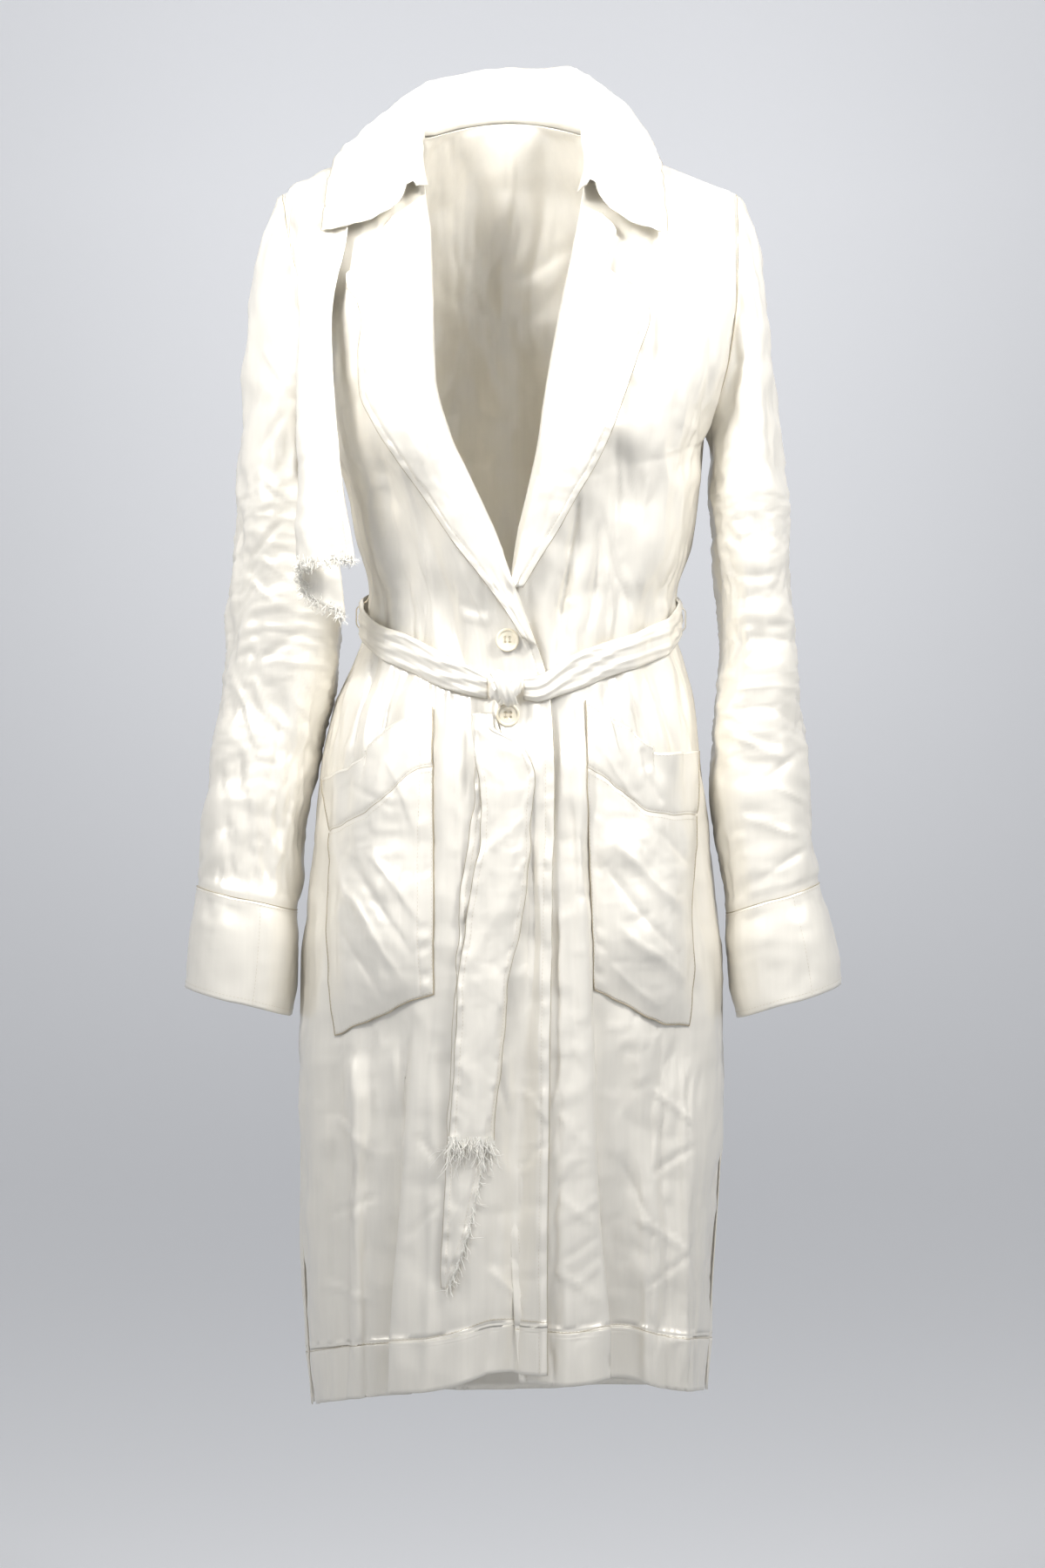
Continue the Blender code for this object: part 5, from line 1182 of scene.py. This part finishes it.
def belt_grid(turns, half, across=22):
    """The belt round the waist: a band drawn together into a few long slanting pleats."""
    z = belt_height(turns)
    r = np.array([max(reach(WORN, a, zz + dz) for dz in (-half, 0, half)) for a, zz in zip(turns, z)]) + .0012
    for _ in range(40):
        r[1:-1] = np.maximum(r[1:-1], .5 * (r[:-2] + r[2:]))
    s = np.concatenate([[0], np.cumsum(np.hypot(np.diff(turns % (2 * PI)) * r[1:], np.diff(z)))])
    near = np.minimum(s, s[-1] - s)
    w = half * (.70 + .30 * part(near / .06) ** .7) * (1 + .10 * line_noise(s, .05, 121))
    z = z + .0012 * line_noise(s, .06, 122)
    way = np.where(s < s[-1] / 2, near, -near)
    c = .5 * np.cos(np.linspace(PI, 0, across)) + .5 * np.linspace(-1, 1, across)
    ridge = 1 - np.abs(np.sin(PI * (1.25 * c + (way / .11 + .9 * line_noise(s, .09, 123))[:, None]))) ** .9
    fine = 1 - np.abs(np.sin(PI * (2.6 * c - (way / .075 + .8 * line_noise(s, .05, 124))[:, None])))
    grid = np.stack(np.broadcast_arrays(s[:, None], c * half, 0.0), -1)
    h = (.0024 + .0017 * ridge + .0008 * fine + .0008 * noise(grid, (.007, .02, 1), 125)) \
        * (1 - np.abs(c) ** 7) ** .6
    c = np.concatenate([c, c[-2:0:-1]])
    q = r[:, None] + np.concatenate([h, np.zeros((len(s), across - 2))], 1)
    a = turns[:, None]
    return np.stack([BELT_MID + np.sin(a) * q, -np.cos(a) * q, z[:, None] - w[:, None] * c], -1)


turns = (np.linspace(.062, 2 * PI - .188, 360) + PI) % (2 * PI) - PI
belt = belt_grid(turns, .0158)
tube("belt_band", belt, BELT_SATIN, ("belt",))
KNOT_Y = float(np.nanmin(front_y(WORN, KNOT["x"] + np.array([-.014, 0, .014])[:, None],
                                 KNOT["z"] + np.array([-.016, 0, .016])[None, :]))) - KNOT["half_y"] - .0005


def knot_grid(rings=44, around=60):
    """The knot's core: a lump with grooves from side to side."""
    out = []
    a = np.linspace(0, 2 * PI, around, endpoint=False)
    for i in range(rings):
        t = PI * (i + .35) / (rings - .3)
        x, w = -math.cos(t), math.sin(t) ** .75
        w = w * (1 - .12 * np.abs(np.sin(5 * (x - .4 * np.sin(a))))
                 - .10 * np.abs(np.sin(9 * x + 2 * np.sin(a))))
        out.append(np.stack([KNOT["x"] + KNOT["half_x"] * .94 * x + 0 * a,
                             KNOT_Y + KNOT["half_y"] * .86 * w * np.cos(a),
                             KNOT["z"] + KNOT["half_z"] * .92 * w * np.sin(a) + .003 * x], 1))
    return np.array(out)


def wrap(a0, a1, x0, x1, half, thick, big, seed=5):
    """A band drawn over the knot, from turn a0 to a1 about its length."""
    a, t = np.linspace(a0, a1, 48), np.linspace(0, 1, 48)
    out = unit(np.stack([.30 * np.sin((t - .5) * 2), -np.cos(a), np.sin(a)], 1))
    path = np.stack([KNOT["x"] + x0 + (x1 - x0) * ease(t), KNOT_Y - KNOT["half_y"] * big * np.cos(a),
                     KNOT["z"] + KNOT["half_z"] * big * np.sin(a)], 1)
    return strap(path, out, half * (.75 + .25 * np.sin(t * PI)), thick, seed=seed)


tube("belt_knot_core", knot_grid(), BELT_SATIN, ("belt_knot",))
tube("belt_knot_over", wrap(2.0, -1.7, -.0085, .0055, .0068, .0022, .90), BELT_SATIN)
tube("belt_knot_low", wrap(.7, -2.2, .0095, -.0035, .0055, .0018, .82, 8), BELT_SATIN)


def end_grid(tab, under, rows, seed, cols=26):
    """A belt end that hangs from the knot, laid on the pieces below it."""
    z = np.linspace(tab["z"][0], tab["z"][-1], rows)
    left, right, turn = (smooth(tab["z"], tab[k], z)[:, None] * MM for k in ("left", "right", "turn"))
    c = np.linspace(0, 1, cols)
    c = ((.5 - .5 * np.cos(PI * c)) * .6 + c * .4)[None, :]
    wide = right - left
    x = left + wide * c
    z = np.broadcast_to(z[:, None] * MM, x.shape)
    y = front_y(under, x, z, -.12) - .0010 - WALL + turn * (c - .5)
    for _ in range(60):
        y[1:-1] = np.minimum(y[1:-1], .5 * (y[:-2] + y[2:]))
        y[:, 1:-1] = np.minimum(y[:, 1:-1], .5 * (y[:, :-2] + y[:, 2:]))
    p = np.stack([x, y, z], -1)
    s, d = z[0, 0] - z, np.minimum(c, 1 - c) * wide
    fold = 1 - np.abs(np.sin(PI * (c * 1.1 + s / .16 + .8 * line_noise(s, .07, seed))))
    h = .0012 + .0011 * crumple(p, (.016, .05, .035), seed + 1) + .0018 * fold \
        + ladder(s, d, seed + 2, .0012, .003, .0035, .007) + .0005 * bell(d, .0035, .0025) \
        - .0006 * bell(d, .0052, .0009)
    p[..., 0] += .0012 * line_noise(s, .02, seed + 5)
    p[..., 1] -= np.maximum(h, .0002)
    return p


def end_yarns(place, g, count, long, rows_up, seed):
    """Frayed yarns along the foot of a belt end; a slanting end frays up its edge."""
    r = np.random.default_rng(seed)
    roots, heads, lengths = [], [], []
    for _ in range(count):
        j = int(r.random() * (g.shape[1] - 1))
        i = g.shape[0] - 1 - int(r.random() ** 2 * rows_up)
        q = g[i, j] + (g[i, j + 1] - g[i, j]) * r.random()
        if rows_up > 4:
            q = g[g.shape[0] - 1 - int(r.random() ** 1.3 * rows_up), -1]
        roots.append(q + np.array([0, WALL * r.random() - .0004, 0]))
        heads.append(np.array([r.normal(.05, .32), -.15 + .3 * r.random(), -1]))
        lengths.append(long * (.3 + .7 * r.random() ** 1.5))
    yarns("belt_end_%s_frayed" % place, roots, heads, lengths, seed + 1, "belt_fringe_" + place)


end_back = end_grid(ENDS["back"], tree_of(FRONT[-1], FRONT[1], rings=(belt,)), 190, 131)
cloth("belt_end_back", end_back, -1, BELT_SATIN)
end_front = end_grid(ENDS["front"], tree_of(FRONT[-1], FRONT[1], end_back, rings=(belt,)), 180, 141)
cloth("belt_end_front", end_front, -1, BELT_SATIN)
stitches("belt_stitches", [[a[16:-4] for a in inset(g, -normals(g), .0052, True, last)]
                           for g in (end_back, end_front) for last in (True, False)], "belt_satin")
end_yarns("front", end_front, 190, .036, 3, 151)
end_yarns("back", end_back, 130, .017, 46, 161)


# ---------------------------------------------------------------- buttons and belt loops
def button(node):
    """A four-hole button with a rounded rim and two threads."""
    lo, hi = (np.array(c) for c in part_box(node))
    mid, radius, hole = (lo + hi) / 2, (hi[0] - lo[0]) / 2, .20
    a = np.linspace(0, 2 * PI, 72, endpoint=False)
    rings = []
    for k in np.concatenate([np.linspace(.03, .74, 26), np.linspace(.77, 1, 12)]):
        x, z = radius * k * np.cos(a), radius * k * np.sin(a)
        rim = math.sqrt(max(0, 1 - ((k - .87) / .13) ** 2)) if k > .74 else 0
        y = lo[1] + .0010 - .0009 * rim + 0 * a
        for hx, hz in ((-1, -1), (-1, 1), (1, -1), (1, 1)):
            d = np.hypot(x - hx * radius * hole, z - hz * radius * hole) / (radius * .105)
            y = y + .0014 * part(1.25 - d) ** .5
        rings.append(np.stack([mid[0] + x, y, mid[2] + z], 1))
    for k in np.linspace(1, .05, 5):
        rings.append(np.stack([mid[0] + radius * k * np.cos(a), 0 * a + hi[1] - .0002,
                               mid[2] + radius * k * np.sin(a)], 1))
    tube(node + "_face", np.array(rings), CREAM, (node,))
    b, z = np.arange(6) * PI / 3, np.linspace(-1, 1, 7)
    round_it = .00028 * np.stack([np.cos(b), np.sin(b), 0 * b], 1)
    for hx, word in ((-1, "a"), (1, "b")):
        pts = np.stack([mid[0] + hx * radius * hole + 0 * z, lo[1] + .0014 - .0007 * (1 - z ** 4),
                        mid[2] + z * radius * .24], 1)
        tube("%s_thread_%s" % (node, word), pts[:, None] + round_it, THREAD)


def belt_loop(node, half, thick, proud, mat, length=.019):
    """A belt loop: a narrow band from the coat, over the belt and back to the coat."""
    lo, hi = (np.array(c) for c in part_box(node))
    mid = (lo + hi) / 2
    a = math.atan2(mid[0] - BELT_MID, -mid[1])
    d = np.array([math.sin(a), -math.cos(a), 0])
    zs = float(belt_height(a))
    far = reach(tree_of(rings=(belt,)), a, zs) + proud
    top, foot = reach(WORN, a, zs + length), reach(WORN, a, zs - length)
    t = np.linspace(0, 1, 40)
    r = np.interp(t, [0, .14, .30, .70, .86, 1], [top - .001, top + .001, far, far, foot + .001, foot - .001])
    for _ in range(4):
        r[1:-1] = .25 * r[:-2] + .5 * r[1:-1] + .25 * r[2:]
    path = np.array([BELT_MID, 0, 0]) + d * r[:, None]
    path[:, 2] = zs + length * (1 - 2 * t)
    out = np.cross(unit(np.gradient(path, axis=0)), [math.cos(a), math.sin(a), 0])
    out = out * np.sign(out[20] @ d)
    tube(node + "_band", strap(path, out, half, thick, 10, .3, 9), mat, (node,), "belt_satin")


button("button_top")
button("button_bottom")
belt_loop("belt_loop_right", .0007, .0009, .0012, THREAD)
belt_loop("belt_loop_left", .0034, .0012, .0016, SATIN)

# ---------------------------------------------------------------- shade along the edges
BACKWARD = np.array([0, .0009, 0])
edges = [(LAPEL[k][:, -1] + BACKWARD, LAPEL_N[k][:, -1]) for k in (-1, 1)]
edges.append(below((FRONT[-1][:, -1] + BACKWARD, FRONT_N[-1][:, -1]), -.44))
edges.append((collar[-1] - cn[-1] * .0010, cn[-1]))
for k in (-1, 1):
    edges += [(POCKET[k][:, i], POCKET_N[k][:, i]) for i in (0, -1)] + [(POCKET[k][-1], POCKET_N[k][-1])]
for g in (end_back, end_front):
    edges += [(g[18:, i] + BACKWARD, -normals(g)[18:, i]) for i in (0, -1)]
painted_shade_line("edge_shades", edges, .00050)
painted_shade_line("armhole_shades", [all_round(SLEEVES[k], SLEEVES_N[k], 1) for k in (-1, 1)], .00045)

for name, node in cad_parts.items():
    if not node.hide_render:
        node.data.materials.clear()
        node.data.materials.append(SATIN)
